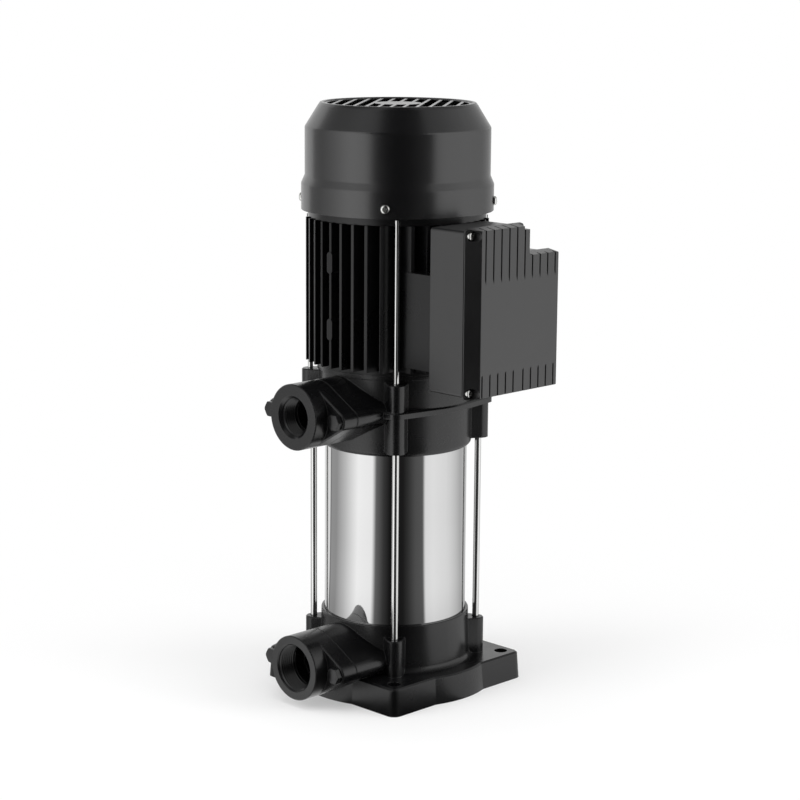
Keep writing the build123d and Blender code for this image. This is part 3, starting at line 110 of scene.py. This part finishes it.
toRight = Vector((math.cos(cameraAngle), math.sin(cameraAngle), 0))
toCamera = Vector((math.sin(cameraAngle), -math.cos(cameraAngle), 0))


def smoothRange(tree, value, reach, first, last):
    # goes smoothly from the first number to the last over the reach of the value
    spread = tree.nodes.new("ShaderNodeMapRange")
    spread.interpolation_type = "SMOOTHSTEP"
    spread.inputs["From Min"].default_value, spread.inputs["From Max"].default_value = reach
    spread.inputs["To Min"].default_value = first
    spread.inputs["To Max"].default_value = last
    tree.links.new(value, spread.inputs["Value"])
    return spread.outputs[0]


def pickByRay(tree, plain, mirrored, seen):
    # mirrors get one shader, the camera another, and all other light the plain one
    nodes, links = tree.nodes, tree.links
    rays = nodes.new("ShaderNodeLightPath")
    picked = plain.outputs[0]
    for ray, shader in (("Is Glossy Ray", mirrored), ("Is Camera Ray", seen)):
        mix = nodes.new("ShaderNodeMixShader")
        links.new(rays.outputs[ray], mix.inputs[0])
        links.new(picked, mix.inputs[1])
        links.new(shader.outputs[0], mix.inputs[2])
        picked = mix.outputs[0]
    return picked


def studioReflection(tree, direction):
    # brightness round the studio, read from a direction or a place on the floor
    nodes, links = tree.nodes, tree.links
    # angle of the direction, nought towards the camera
    angle = nodes.new("ShaderNodeMath")
    angle.operation = "ARCTAN2"
    for number, axis in enumerate((toRight, toCamera)):
        along = nodes.new("ShaderNodeVectorMath")
        along.operation = "DOT_PRODUCT"
        along.inputs[1].default_value = axis
        links.new(direction, along.inputs[0])
        links.new(along.outputs["Value"], angle.inputs[number])
    spread = nodes.new("ShaderNodeMapRange")
    spread.inputs["From Min"].default_value = -math.pi
    spread.inputs["From Max"].default_value = math.pi
    links.new(angle.outputs[0], spread.inputs["Value"])
    ramp = nodes.new("ShaderNodeValToRGB")
    strongest = max(level for _, level in studio["reflection"])
    stops = ramp.color_ramp.elements
    for number, (degrees, level) in enumerate(studio["reflection"]):
        place = (degrees + 180) / 360
        # a new ramp comes with two stops
        stop = stops[number] if number < 2 else stops.new(place)
        stop.position = place
        stop.color = (level / strongest,) * 3 + (1,)
    links.new(spread.outputs[0], ramp.inputs["Fac"])
    return ramp.outputs["Color"], strongest


def makeWorld():
    world = bpy.data.worlds.new("studioWorld")
    bpy.context.scene.world = world
    world.use_nodes = True
    tree = world.node_tree
    nodes, links = tree.nodes, tree.links
    nodes.clear()
    place = nodes.new("ShaderNodeTexCoord")
    plain = nodes.new("ShaderNodeBackground")
    plain.inputs["Color"].default_value = (1, 1, 1, 1)
    plain.inputs["Strength"].default_value = studio["worldLevel"]
    seen = nodes.new("ShaderNodeBackground")
    seen.inputs["Color"].default_value = (1, 1, 1, 1)
    seen.inputs["Strength"].default_value = studio["backdropLevel"]
    bands, strongest = studioReflection(tree, place.outputs["Generated"])
    # the softboxes end a little above the object, so the reflection darkens upwards
    parts = nodes.new("ShaderNodeSeparateXYZ")
    links.new(place.outputs["Generated"], parts.inputs[0])
    *rise, left = studio["ceiling"]
    level = smoothRange(tree, parts.outputs["Z"], rise, strongest, strongest * left)
    mirrored = nodes.new("ShaderNodeBackground")
    links.new(bands, mirrored.inputs["Color"])
    links.new(level, mirrored.inputs["Strength"])
    out = nodes.new("ShaderNodeOutputWorld")
    links.new(pickByRay(tree, plain, mirrored, seen), out.inputs["Surface"])


def makeFloor():
    deselectAll()
    bpy.ops.mesh.primitive_plane_add(size=studio["floorSize"], location=(0, 0, 0))
    floor = bpy.context.object
    floor.name = "studioFloor"
    bpy.ops.object.mode_set(mode="EDIT")
    bpy.ops.mesh.select_all(action="SELECT")
    bpy.ops.mesh.subdivide(number_cuts=studio["floorCuts"])
    bpy.ops.object.mode_set(mode="OBJECT")
    material = bpy.data.materials.new("paleFloor")
    material.use_nodes = True
    tree = material.node_tree
    nodes, links = tree.nodes, tree.links
    nodes.clear()
    place = nodes.new("ShaderNodeTexCoord")
    distance = nodes.new("ShaderNodeVectorMath")
    distance.operation = "LENGTH"
    links.new(place.outputs["Object"], distance.inputs[0])
    paint = nodes.new("ShaderNodeBsdfDiffuse")
    paint.inputs["Color"].default_value = studio["floorColour"]
    white = nodes.new("ShaderNodeEmission")
    white.inputs["Color"].default_value = (1, 1, 1, 1)
    white.inputs["Strength"].default_value = studio["backdropLevel"]
    # seen straight, the floor is white but for the shadow close to the object
    nearShare = 1 - studio["shadowShare"]
    fade = smoothRange(tree, distance.outputs["Value"], studio["shadowReach"], nearShare, 1)
    seen = nodes.new("ShaderNodeMixShader")
    links.new(fade, seen.inputs[0])
    links.new(paint.outputs[0], seen.inputs[1])
    links.new(white.outputs[0], seen.inputs[2])
    # in reflections it glows with the studio's bands, with a painted shade close to the object
    bands, strongest = studioReflection(tree, place.outputs["Object"])
    nearLevel = strongest * studio["reflectedShadeShare"]
    dim = smoothRange(tree, distance.outputs["Value"], studio["dimReach"], nearLevel, strongest)
    mirrored = nodes.new("ShaderNodeEmission")
    links.new(bands, mirrored.inputs["Color"])
    links.new(dim, mirrored.inputs["Strength"])
    out = nodes.new("ShaderNodeOutputMaterial")
    links.new(pickByRay(tree, paint, mirrored, seen), out.inputs["Surface"])
    floor.data.materials.append(material)


def makeLights():
    for name, (side, front, height, size, power) in studio["softboxes"].items():
        lamp = bpy.data.lights.new(name, "AREA")
        lamp.shape = "RECTANGLE"
        lamp.size, lamp.size_y = size
        lamp.energy = studio["softboxPower"] * power
        lampObject = bpy.data.objects.new(name, lamp)
        lampObject.location = toRight * side + toCamera * front + Vector((0, 0, height))
        aim = Vector(studio["softboxAim"]) - lampObject.location
        lampObject.rotation_euler = aim.to_track_quat("-Z", "Y").to_euler()
        lampObject.visible_glossy = False
        bpy.context.scene.collection.objects.link(lampObject)


def turned(degrees, axis):
    return Matrix.Rotation(math.radians(degrees), 4, axis)


def makeCamera():
    camera = bpy.data.cameras.new("studioCamera")
    camera.lens = studio["lens"]
    camera.sensor_width = studio["sensorWidth"]
    camera.clip_end = studio["clipEnd"]
    cameraObject = bpy.data.objects.new("studioCamera", camera)
    cameraObject.location = (
        studio["cameraDistance"] * math.sin(cameraAngle),
        -studio["cameraDistance"] * math.cos(cameraAngle),
        studio["cameraHeight"],
    )
    look = (
        turned(studio["cameraTurn"], "Z") @ turned(90 - studio["cameraPitch"], "X")
        @ turned(-studio["cameraYaw"], "Y") @ turned(studio["cameraRoll"], "Z")
    )
    cameraObject.rotation_euler = look.to_euler()
    bpy.context.scene.collection.objects.link(cameraObject)
    bpy.context.scene.camera = cameraObject


bpy.context.scene.view_settings.view_transform = "Standard"
makeWorld()
makeFloor()
makeLights()
makeCamera()
print("studio ready")


def newMaterial(name):
    material = bpy.data.materials.new(name)
    material.use_nodes = True
    nodes = material.node_tree.nodes
    return material, nodes, material.node_tree.links, nodes["Principled BSDF"]


def objectPlace(nodes, links, stretch=(1, 1, 1)):
    place = nodes.new("ShaderNodeTexCoord")
    mapping = nodes.new("ShaderNodeMapping")
    mapping.inputs["Scale"].default_value = stretch
    links.new(place.outputs["Object"], mapping.inputs["Vector"])
    return mapping.outputs["Vector"]


surface = {
    # detail and roughness of each kind of noise
    "grain": (4.0, 0.6),
    "cloud": (3.0, 0.5),
    "lines": (2.0, 0.5),
    # the part of a noise's range that carries it
    "noiseRange": (0.3, 0.7),
    # likeness of the rounded and the true normal, from an edge, which gets a painted highlight, to
    # a plain face
    "edgeRange": (0.75, 0.98),
    "edgeSamples": 4,
}


def noise(nodes, links, vector, scale, kind):
    detail, roughness = surface[kind]
    texture = nodes.new("ShaderNodeTexNoise")
    texture.inputs["Scale"].default_value = scale
    texture.inputs["Detail"].default_value = detail
    texture.inputs["Roughness"].default_value = roughness
    links.new(vector, texture.inputs["Vector"])
    return texture.outputs["Fac"]


def remap(nodes, links, value, low, high, reach="noiseRange"):
    spread = nodes.new("ShaderNodeMapRange")
    spread.inputs["From Min"].default_value = surface[reach][0]
    spread.inputs["From Max"].default_value = surface[reach][1]
    spread.inputs["To Min"].default_value = low
    spread.inputs["To Max"].default_value = high
    links.new(value, spread.inputs["Value"])
    return spread.outputs[0]


def mixColour(nodes, links, factor, first, second):
    mix = nodes.new("ShaderNodeMix")
    mix.data_type = "RGBA"
    mix.inputs["A"].default_value = (*first, 1)
    mix.inputs["B"].default_value = (*second, 1)
    links.new(factor, mix.inputs["Factor"])
    return mix.outputs["Result"]


def edgeMask(nodes, links, radius):
    # bright where an edge turns within the radius
    rounded = nodes.new("ShaderNodeBevel")
    rounded.samples = surface["edgeSamples"]
    rounded.inputs["Radius"].default_value = radius
    flat = nodes.new("ShaderNodeNewGeometry")
    likeness = nodes.new("ShaderNodeVectorMath")
    likeness.operation = "DOT_PRODUCT"
    links.new(rounded.outputs[0], likeness.inputs[0])
    links.new(flat.outputs["Normal"], likeness.inputs[1])
    mask = remap(nodes, links, likeness.outputs["Value"], 1, 0, "edgeRange")
    return mask, rounded.outputs[0]


def bumpFrom(nodes, links, height, strength, distance, normal=None):
    bump = nodes.new("ShaderNodeBump")
    bump.inputs["Strength"].default_value = strength
    bump.inputs["Distance"].default_value = distance
    links.new(height, bump.inputs["Height"])
    if normal is not None:
        links.new(normal, bump.inputs["Normal"])
    return bump.outputs[0]


def coatedMaterial(name, look):
    # paint, coating or moulded plastic, with grain and a painted highlight along the edges
    material, nodes, links, shader = newMaterial(name)
    place = objectPlace(nodes, links)
    grain = noise(nodes, links, place, look["grainScale"], "grain")
    cloud = noise(nodes, links, place, look["cloudScale"], "cloud")
    tone = mixColour(nodes, links, remap(nodes, links, cloud, 0, 1), look["dark"], look["light"])
    edges, rounded = edgeMask(nodes, links, look["edgeRadius"])
    # painted highlight: a lighter colour is mixed in along the edges
    highlightStrength = nodes.new("ShaderNodeMath")
    highlightStrength.operation = "MULTIPLY"
    highlightStrength.inputs[1].default_value = look["edgeHighlightShare"]
    links.new(edges, highlightStrength.inputs[0])
    highlightMix = nodes.new("ShaderNodeMix")
    highlightMix.data_type = "RGBA"
    highlightMix.inputs["B"].default_value = (*look["edgeHighlightColour"], 1)
    links.new(tone, highlightMix.inputs["A"])
    links.new(highlightStrength.outputs[0], highlightMix.inputs["Factor"])
    links.new(highlightMix.outputs["Result"], shader.inputs["Base Color"])
    low, high = look["roughness"]
    links.new(remap(nodes, links, cloud, low, high), shader.inputs["Roughness"])
    bump = bumpFrom(nodes, links, grain, look["grainDepth"], look["grainHeight"], rounded)
    links.new(bump, shader.inputs["Normal"])
    shader.inputs["Specular IOR Level"].default_value = look["specular"]
    return material


def metalMaterial(name, look):
    # bare metal with fine lines along or round it, and a slight change of tone
    material, nodes, links, shader = newMaterial(name)
    place = objectPlace(nodes, links, look["stretch"])
    lines = noise(nodes, links, place, look["lineScale"], "lines")
    plain = objectPlace(nodes, links)
    cloud = noise(nodes, links, plain, look["cloudScale"], "cloud")
    tone = mixColour(nodes, links, remap(nodes, links, cloud, 0, 1), look["dark"], look["light"])
    links.new(tone, shader.inputs["Base Color"])
    shader.inputs["Metallic"].default_value = 1.0
    low, high = look["roughness"]
    links.new(remap(nodes, links, cloud, low, high), shader.inputs["Roughness"])
    bump = bumpFrom(nodes, links, lines, look["lineDepth"], look["lineHeight"])
    links.new(bump, shader.inputs["Normal"])
    return material


coatings = {
    # each edge colour and its share paint a highlight along the part's edges
    "black_cast_iron": {
        "dark": (0.002, 0.002, 0.0022), "light": (0.0045, 0.0045, 0.0048),
        "edgeHighlightColour": (0.07, 0.07, 0.07), "edgeRadius": 0.0008, "edgeHighlightShare": 0.3,
        "grainScale": 650, "grainDepth": 0.25, "grainHeight": 0.0003, "cloudScale": 22,
        "roughness": (0.20, 0.30), "specular": 0.56,
    },
    "black_motor_paint": {
        "dark": (0.002, 0.002, 0.0022), "light": (0.0035, 0.0035, 0.0038),
        "edgeHighlightColour": (0.025, 0.025, 0.025), "edgeRadius": 0.0006, "edgeHighlightShare": 0.3,
        "grainScale": 420, "grainDepth": 0.1, "grainHeight": 0.0003, "cloudScale": 18,
        "roughness": (0.24, 0.34), "specular": 0.44,
    },
    "fan_cover_black": {
        "dark": (0.003, 0.003, 0.0033), "light": (0.005, 0.005, 0.0053),
        "edgeHighlightColour": (0.05, 0.05, 0.05), "edgeRadius": 0.0008, "edgeHighlightShare": 0.2,
        "grainScale": 1100, "grainDepth": 0.12, "grainHeight": 0.0002, "cloudScale": 14,
        "roughness": (0.22, 0.26), "specular": 0.95,
    },
    "box_plastic": {
        "dark": (0.005, 0.005, 0.0053), "light": (0.008, 0.008, 0.0083),
        "edgeHighlightColour": (0.06, 0.06, 0.06), "edgeRadius": 0.0006, "edgeHighlightShare": 0.25,
        "grainScale": 1400, "grainDepth": 0.25, "grainHeight": 0.0003, "cloudScale": 16,
        "roughness": (0.30, 0.36), "specular": 0.92,
    },
    # the thread's bright edge colour is a painted highlight that brings out its rings
    "machined_thread": {
        "dark": (0.003, 0.003, 0.0032), "light": (0.006, 0.006, 0.0062),
        "edgeHighlightColour": (0.12, 0.12, 0.12), "edgeRadius": 0.0001, "edgeHighlightShare": 0.4,
        "grainScale": 900, "grainDepth": 0.1, "grainHeight": 0.0001, "cloudScale": 60,
        "roughness": (0.18, 0.26), "specular": 0.45,
    },
    "fan_plastic": {
        "dark": (0.010, 0.010, 0.010), "light": (0.018, 0.018, 0.018),
        "edgeHighlightColour": (0.04, 0.04, 0.04), "edgeRadius": 0.0004, "edgeHighlightShare": 0.2,
        "grainScale": 1200, "grainDepth": 0.15, "grainHeight": 0.0002, "cloudScale": 30,
        "roughness": (0.42, 0.55), "specular": 0.5,
    },
    "stage_plastic": {
        "dark": (0.05, 0.05, 0.05), "light": (0.08, 0.08, 0.08),
        "edgeHighlightColour": (0.14, 0.14, 0.14), "edgeRadius": 0.0004, "edgeHighlightShare": 0.2,
        "grainScale": 900, "grainDepth": 0.12, "grainHeight": 0.0002, "cloudScale": 26,
        "roughness": (0.4, 0.5), "specular": 0.5,
    },
    "seal_rubber": {
        "dark": (0.010, 0.010, 0.010), "light": (0.018, 0.018, 0.018),
        "edgeHighlightColour": (0.03, 0.03, 0.03), "edgeRadius": 0.0003, "edgeHighlightShare": 0.1,
        "grainScale": 1500, "grainDepth": 0.15, "grainHeight": 0.0002, "cloudScale": 40,
        "roughness": (0.55, 0.7), "specular": 0.4,
    },
    "carbon_bush": {
        "dark": (0.02, 0.02, 0.02), "light": (0.04, 0.04, 0.04),
        "edgeHighlightColour": (0.08, 0.08, 0.08), "edgeRadius": 0.0003, "edgeHighlightShare": 0.2,
        "grainScale": 1500, "grainDepth": 0.1, "grainHeight": 0.0002, "cloudScale": 50,
        "roughness": (0.3, 0.42), "specular": 0.5,
    },
    "capacitor_can": {
        "dark": (0.62, 0.62, 0.60), "light": (0.70, 0.70, 0.68),
        "edgeHighlightColour": (0.8, 0.8, 0.8), "edgeRadius": 0.0005, "edgeHighlightShare": 0.2,
        "grainScale": 900, "grainDepth": 0.08, "grainHeight": 0.0002, "cloudScale": 20,
        "roughness": (0.35, 0.45), "specular": 0.5,
    },
}
metals = {
    "polished_steel": {
        "dark": (0.57, 0.57, 0.57), "light": (0.60, 0.60, 0.60), "stretch": (1, 1, 0.02),
        "lineScale": 900, "lineDepth": 0.02, "lineHeight": 0.0001, "cloudScale": 9,
        "roughness": (0.035, 0.06),
    },
    "rod_steel": {
        "dark": (0.64, 0.64, 0.63), "light": (0.72, 0.72, 0.71), "stretch": (1, 1, 0.03),
        "lineScale": 2400, "lineDepth": 0.1, "lineHeight": 0.0001, "cloudScale": 30,
        "roughness": (0.10, 0.16),
    },
    "zinc_steel": {
        "dark": (0.70, 0.70, 0.68), "light": (0.80, 0.80, 0.78), "stretch": (1, 1, 1),
        "lineScale": 1600, "lineDepth": 0.12, "lineHeight": 0.0001, "cloudScale": 160,
        "roughness": (0.16, 0.28),
    },
    "stage_steel": {
        "dark": (0.55, 0.55, 0.55), "light": (0.64, 0.64, 0.64), "stretch": (1, 1, 0.05),
        "lineScale": 900, "lineDepth": 0.1, "lineHeight": 0.0001, "cloudScale": 24,
        "roughness": (0.25, 0.35),
    },
    "shaft_steel": {
        "dark": (0.56, 0.56, 0.57), "light": (0.63, 0.63, 0.64), "stretch": (0.05, 0.05, 1),
        "lineScale": 1800, "lineDepth": 0.12, "lineHeight": 0.0001, "cloudScale": 40,
        "roughness": (0.2, 0.3),
    },
    "bearing_steel": {
        "dark": (0.60, 0.60, 0.60), "light": (0.68, 0.68, 0.68), "stretch": (1, 1, 1),
        "lineScale": 1600, "lineDepth": 0.05, "lineHeight": 0.0001, "cloudScale": 60,
        "roughness": (0.12, 0.2),
    },
    "lamination_steel": {
        "dark": (0.30, 0.30, 0.31), "light": (0.40, 0.40, 0.41), "stretch": (0.02, 0.02, 1),
        "lineScale": 1800, "lineDepth": 0.4, "lineHeight": 0.0002, "cloudScale": 30,
        "roughness": (0.4, 0.5),
    },
    "copper_winding": {
        "dark": (0.45, 0.18, 0.08), "light": (0.60, 0.27, 0.13), "stretch": (0.1, 0.1, 1),
        "lineScale": 900, "lineDepth": 0.5, "lineHeight": 0.0004, "cloudScale": 50,
        "roughness": (0.3, 0.42),
    },
    "plug_brass": {
        "dark": (0.58, 0.44, 0.20), "light": (0.68, 0.53, 0.27), "stretch": (1, 1, 1),
        "lineScale": 1400, "lineDepth": 0.15, "lineHeight": 0.0001, "cloudScale": 70,
        "roughness": (0.25, 0.35),
    },
}
finishes = {name: coatedMaterial(name, look) for name, look in coatings.items()}
finishes.update({name: metalMaterial(name, look) for name, look in metals.items()})
print("materials ready:", len(finishes))

for part in frame["record"]["subparts"]:
    node = frame["nodes"][part["node"]]
    node.data.materials.clear()
    node.data.materials.append(finishes[part["material_slot"]])
print("finishes put on the nodes")


modelling = {
    "mergeDistance": 0.00001,
    # least part of an end face's normal that lies along the axis
    "endFacing": 0.9,
    "roundProfile": 0.5,
    "smoothAngle": 32,
}


def selectWhere(mesh, kind, test):
    # picks faces, edges or vertices of the mesh in edit mode by a test of their place or normal
    bpy.ops.mesh.select_mode(type={"faces": "FACE", "edges": "EDGE", "verts": "VERT"}[kind])
    bpy.ops.mesh.select_all(action="DESELECT")
    data = bmesh.from_edit_mesh(mesh)
    for element in getattr(data, kind):
        if test(element):
            element.select_set(True)
    data.select_flush_mode()
    bmesh.update_edit_mesh(mesh)


def cutWith(target, cutter, operation):
    pickOnly(target)
    cut = target.modifiers.new("cut", "BOOLEAN")
    cut.operation = operation
    cut.object = cutter
    cut.solver = "EXACT"
    bpy.ops.object.modifier_apply(modifier=cut.name)
    bpy.data.objects.remove(cutter, do_unlink=True)
    # slivers along the cut close up
    bpy.ops.object.mode_set(mode="EDIT")
    bpy.ops.mesh.select_all(action="SELECT")
    bpy.ops.mesh.remove_doubles(threshold=modelling["mergeDistance"])
    bpy.ops.mesh.dissolve_degenerate(threshold=modelling["mergeDistance"])
    bpy.ops.object.mode_set(mode="OBJECT")


shankShape = {"sides": 32, "endBevel": 0.25}


def addShank(head, radius, length):
    # plain shank below the head, with a short bevel at its end
    deselectAll()
    bpy.ops.mesh.primitive_cylinder_add(
        vertices=shankShape["sides"], radius=radius, depth=length, location=(0, 0, -length / 2)
    )
    shank = bpy.context.object
    bpy.ops.object.mode_set(mode="EDIT")
    selectWhere(shank.data, "faces", lambda face: face.normal.z < -modelling["endFacing"])
    bpy.ops.mesh.bevel(offset=radius * shankShape["endBevel"], affect="EDGES", segments=1)
    bpy.ops.object.mode_set(mode="OBJECT")
    toMesh(shank)
    pickOnly(shank, head)
    bpy.ops.object.join()
    return bpy.context.object


crossShape = {"sides": 64, "crownSteps": 6, "recessTaper": 0.45}


def crossScrew(look):
    # pan or dome head on +Z with a cross recess, and its shank on -Z
    deselectAll()
    bpy.ops.mesh.primitive_cylinder_add(
        vertices=crossShape["sides"], radius=look["headRadius"], depth=look["headHeight"],
        location=(0, 0, look["headHeight"] / 2),
    )
    head = bpy.context.object
    toMesh(head)
    bpy.ops.object.mode_set(mode="EDIT")
    selectWhere(head.data, "faces", lambda face: face.normal.z > modelling["endFacing"])
    bpy.ops.mesh.bevel(
        offset=look["headHeight"] * look["crown"], affect="EDGES",
        segments=crossShape["crownSteps"], profile=modelling["roundProfile"],
    )
    bpy.ops.object.mode_set(mode="OBJECT")
    for turn in (0, 90):
        deselectAll()
        bpy.ops.mesh.primitive_cube_add(size=1, location=(0, 0, look["headHeight"]))
        slot = bpy.context.object
        slot.scale = (look["recessLength"], look["recessWidth"], look["recessDepth"] * 2)
        slot.rotation_euler = (0, 0, math.radians(turn + look["recessTurn"]))
        toMesh(slot)
        bpy.ops.object.mode_set(mode="EDIT")
        selectWhere(slot.data, "verts", lambda vert: vert.co.z < look["headHeight"])
        bpy.ops.transform.resize(value=(crossShape["recessTaper"], crossShape["recessTaper"], 1))
        bpy.ops.object.mode_set(mode="OBJECT")
        cutWith(head, slot, "DIFFERENCE")
    return addShank(head, look["shankRadius"], look["shankLength"])


hexShape = {
    "turnedSides": 96, "turnedShare": 1.02, "cornerSteps": 2,
    "washerSides": 64, "washerShare": 0.485,
}


def hexBolt(look):
    # hexagon head on +Z with its corners turned off, a washer face and a shank on -Z
    washer = look["washerHeight"]
    hexHeight = look["headHeight"] - washer
    cornerRadius = look["flats"] / math.sqrt(3)
    deselectAll()
    bpy.ops.mesh.primitive_cylinder_add(
        vertices=6, radius=cornerRadius, depth=hexHeight,
        location=(0, 0, washer + hexHeight / 2),
    )
    head = bpy.context.object
    toMesh(head)
    deselectAll()
    bpy.ops.mesh.primitive_cylinder_add(
        vertices=hexShape["turnedSides"], radius=cornerRadius * hexShape["turnedShare"],
        depth=look["headHeight"] * 2,
    )
    blank = bpy.context.object
    bpy.ops.object.mode_set(mode="EDIT")
    selectWhere(blank.data, "faces", lambda face: face.normal.z > modelling["endFacing"])
    bpy.ops.mesh.bevel(
        offset=look["cornerBevel"], affect="EDGES",
        segments=hexShape["cornerSteps"], profile=modelling["roundProfile"],
    )
    bpy.ops.object.mode_set(mode="OBJECT")
    toMesh(blank)
    cutWith(head, blank, "INTERSECT")
    deselectAll()
    bpy.ops.mesh.primitive_cylinder_add(
        vertices=hexShape["washerSides"], radius=look["flats"] * hexShape["washerShare"],
        depth=washer, location=(0, 0, washer / 2),
    )
    face = bpy.context.object
    toMesh(face)
    pickOnly(face, head)
    bpy.ops.object.join()
    return addShank(bpy.context.object, look["shankRadius"], look["shankLength"])


def settle(piece, name, places, slot, body="root"):
    # copies of the piece at each place, joined into one object with its own mesh
    copies = []
    for place in places:
        pickOnly(piece)
        bpy.ops.object.duplicate()
        copy = bpy.context.object
        copy.matrix_world = place
        toMesh(copy)
        copies.append(copy)
    bpy.data.objects.remove(piece, do_unlink=True)
    pickOnly(*copies)
    bpy.ops.object.join()
    whole = bpy.context.object
    whole.name = name
    pickOnly(whole)
    bpy.ops.object.mode_set(mode="EDIT")
    bpy.ops.mesh.select_all(action="SELECT")
    bpy.ops.mesh.normals_make_consistent(inside=False)
    bpy.ops.object.mode_set(mode="OBJECT")
    bpy.ops.object.shade_smooth_by_angle(angle=math.radians(modelling["smoothAngle"]))
    whole.data.materials.clear()
    whole.data.materials.append(finishes[slot])
    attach(whole, body)
    return whole


coverScrew = {
    "headRadius": 0.00415, "headHeight": 0.0028, "crown": 0.72, "recessLength": 0.0042,
    "recessWidth": 0.00095, "recessDepth": 0.0013, "recessTurn": 20,
    "shankRadius": 0.002, "shankLength": 0.009, "count": 4, "turn": 38.0, "seatGap": 0.00002,
}
low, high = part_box("fan_cover_screws")
screwHeight = (low[2] + high[2]) / 2
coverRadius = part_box("fan_cover")[1][0]
seat = Matrix.Translation((coverRadius + coverScrew["seatGap"], 0, screwHeight))
places = [
    turned(coverScrew["turn"] + 360 / coverScrew["count"] * number, "Z") @ seat @ turned(90, "Y")
    for number in range(coverScrew["count"])
]
screws = settle(crossScrew(coverScrew), "coverDomeScrews", places, "zinc_steel")
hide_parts("fan_cover_screws")
print("cover screws made")

lidScrew = {
    "headRadius": 0.0035, "headHeight": 0.0026, "crown": 0.35, "recessLength": 0.0038,
    "recessWidth": 0.0009, "recessDepth": 0.0014, "recessTurn": 35,
    "shankRadius": 0.002, "shankLength": 0.022,
}
low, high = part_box("terminal_box_screws")
seatX = high[0] - lidScrew["headHeight"]
across = (low[1] + high[1]) / 2
places = [
    Matrix.Translation((seatX, across, height)) @ turned(90, "Y")
    for height in (low[2] + lidScrew["headRadius"], high[2] - lidScrew["headRadius"])
]
screws = settle(crossScrew(lidScrew), "lidPanScrews", places, "zinc_steel")
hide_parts("terminal_box_screws")
print("lid screws made")

flangeBolt = {
    "flats": 0.013, "headHeight": 0.0053, "washerHeight": 0.0005, "cornerBevel": 0.0010,
    "headTurn": 30, "shankRadius": 0.004, "shankLength": 0.034,
}
for node in ("suction_flange_bolts", "delivery_flange_bolts"):
    low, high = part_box(node)
    halfHead = flangeBolt["flats"] / math.sqrt(3)
    seatY = low[1] + flangeBolt["headHeight"]
    places = [
        Matrix.Translation((across, seatY, (low[2] + high[2]) / 2))
        @ turned(90, "X") @ turned(flangeBolt["headTurn"], "Z")
        for across in (low[0] + halfHead, high[0] - halfHead)
    ]
    name = node.replace("_flange_bolts", "HexBolts")
    bolts = settle(hexBolt(flangeBolt), name, places, "black_cast_iron")
    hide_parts(node)
print("flange bolts made")

portThread = {"pitch": 0.002309, "ridgeShare": 0.46, "steps": 72, "finish": "machined_thread"}
threads = {
    "suctionThread": {
        "node": "suction_flange", "outer": 0.020955, "inner": 0.01948, "start": 0.0020, "turns": 7,
    },
    "deliveryThread": {
        "node": "delivery_flange", "outer": 0.01662, "inner": 0.01516, "start": 0.0034, "turns": 6,
    },
}
for name, thread in threads.items():
    low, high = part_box(thread["node"])
    depth = thread["outer"] - thread["inner"]
    deselectAll()
    # diamond profile, wound into the ridge
    bpy.ops.mesh.primitive_circle_add(
        vertices=4, radius=1, fill_type="NOTHING",
        location=(0, low[1] + thread["start"], (low[2] + high[2]) / 2),
    )
    ridge = bpy.context.object
    ridge.name = name
    bpy.ops.object.mode_set(mode="EDIT")
    bpy.ops.mesh.select_all(action="SELECT")
    bpy.ops.transform.resize(value=(depth, portThread["pitch"] * portThread["ridgeShare"], 1))
    # half of the profile lies inside the wall
    bpy.ops.transform.translate(value=(thread["outer"], 0, 0))
    bpy.ops.object.mode_set(mode="OBJECT")
    screw = ridge.modifiers.new("winding", "SCREW")
    screw.axis = "Y"
    screw.angle = math.radians(360)
    screw.screw_offset = portThread["pitch"]
    screw.iterations = thread["turns"]
    screw.steps = portThread["steps"]
    screw.render_steps = portThread["steps"]
    screw.use_smooth_shade = False
    bpy.ops.object.modifier_apply(modifier=screw.name)
    bpy.ops.object.mode_set(mode="EDIT")
    bpy.ops.mesh.select_all(action="SELECT")
    bpy.ops.mesh.remove_doubles(threshold=modelling["mergeDistance"])
    # closes the ridge's two ends
    bpy.ops.mesh.fill_holes(sides=4)
    bpy.ops.mesh.normals_make_consistent(inside=False)
    bpy.ops.object.mode_set(mode="OBJECT")
    toMesh(ridge)
    ridge.data.materials.append(finishes[portThread["finish"]])
    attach(ridge, "root")
print("port threads made")
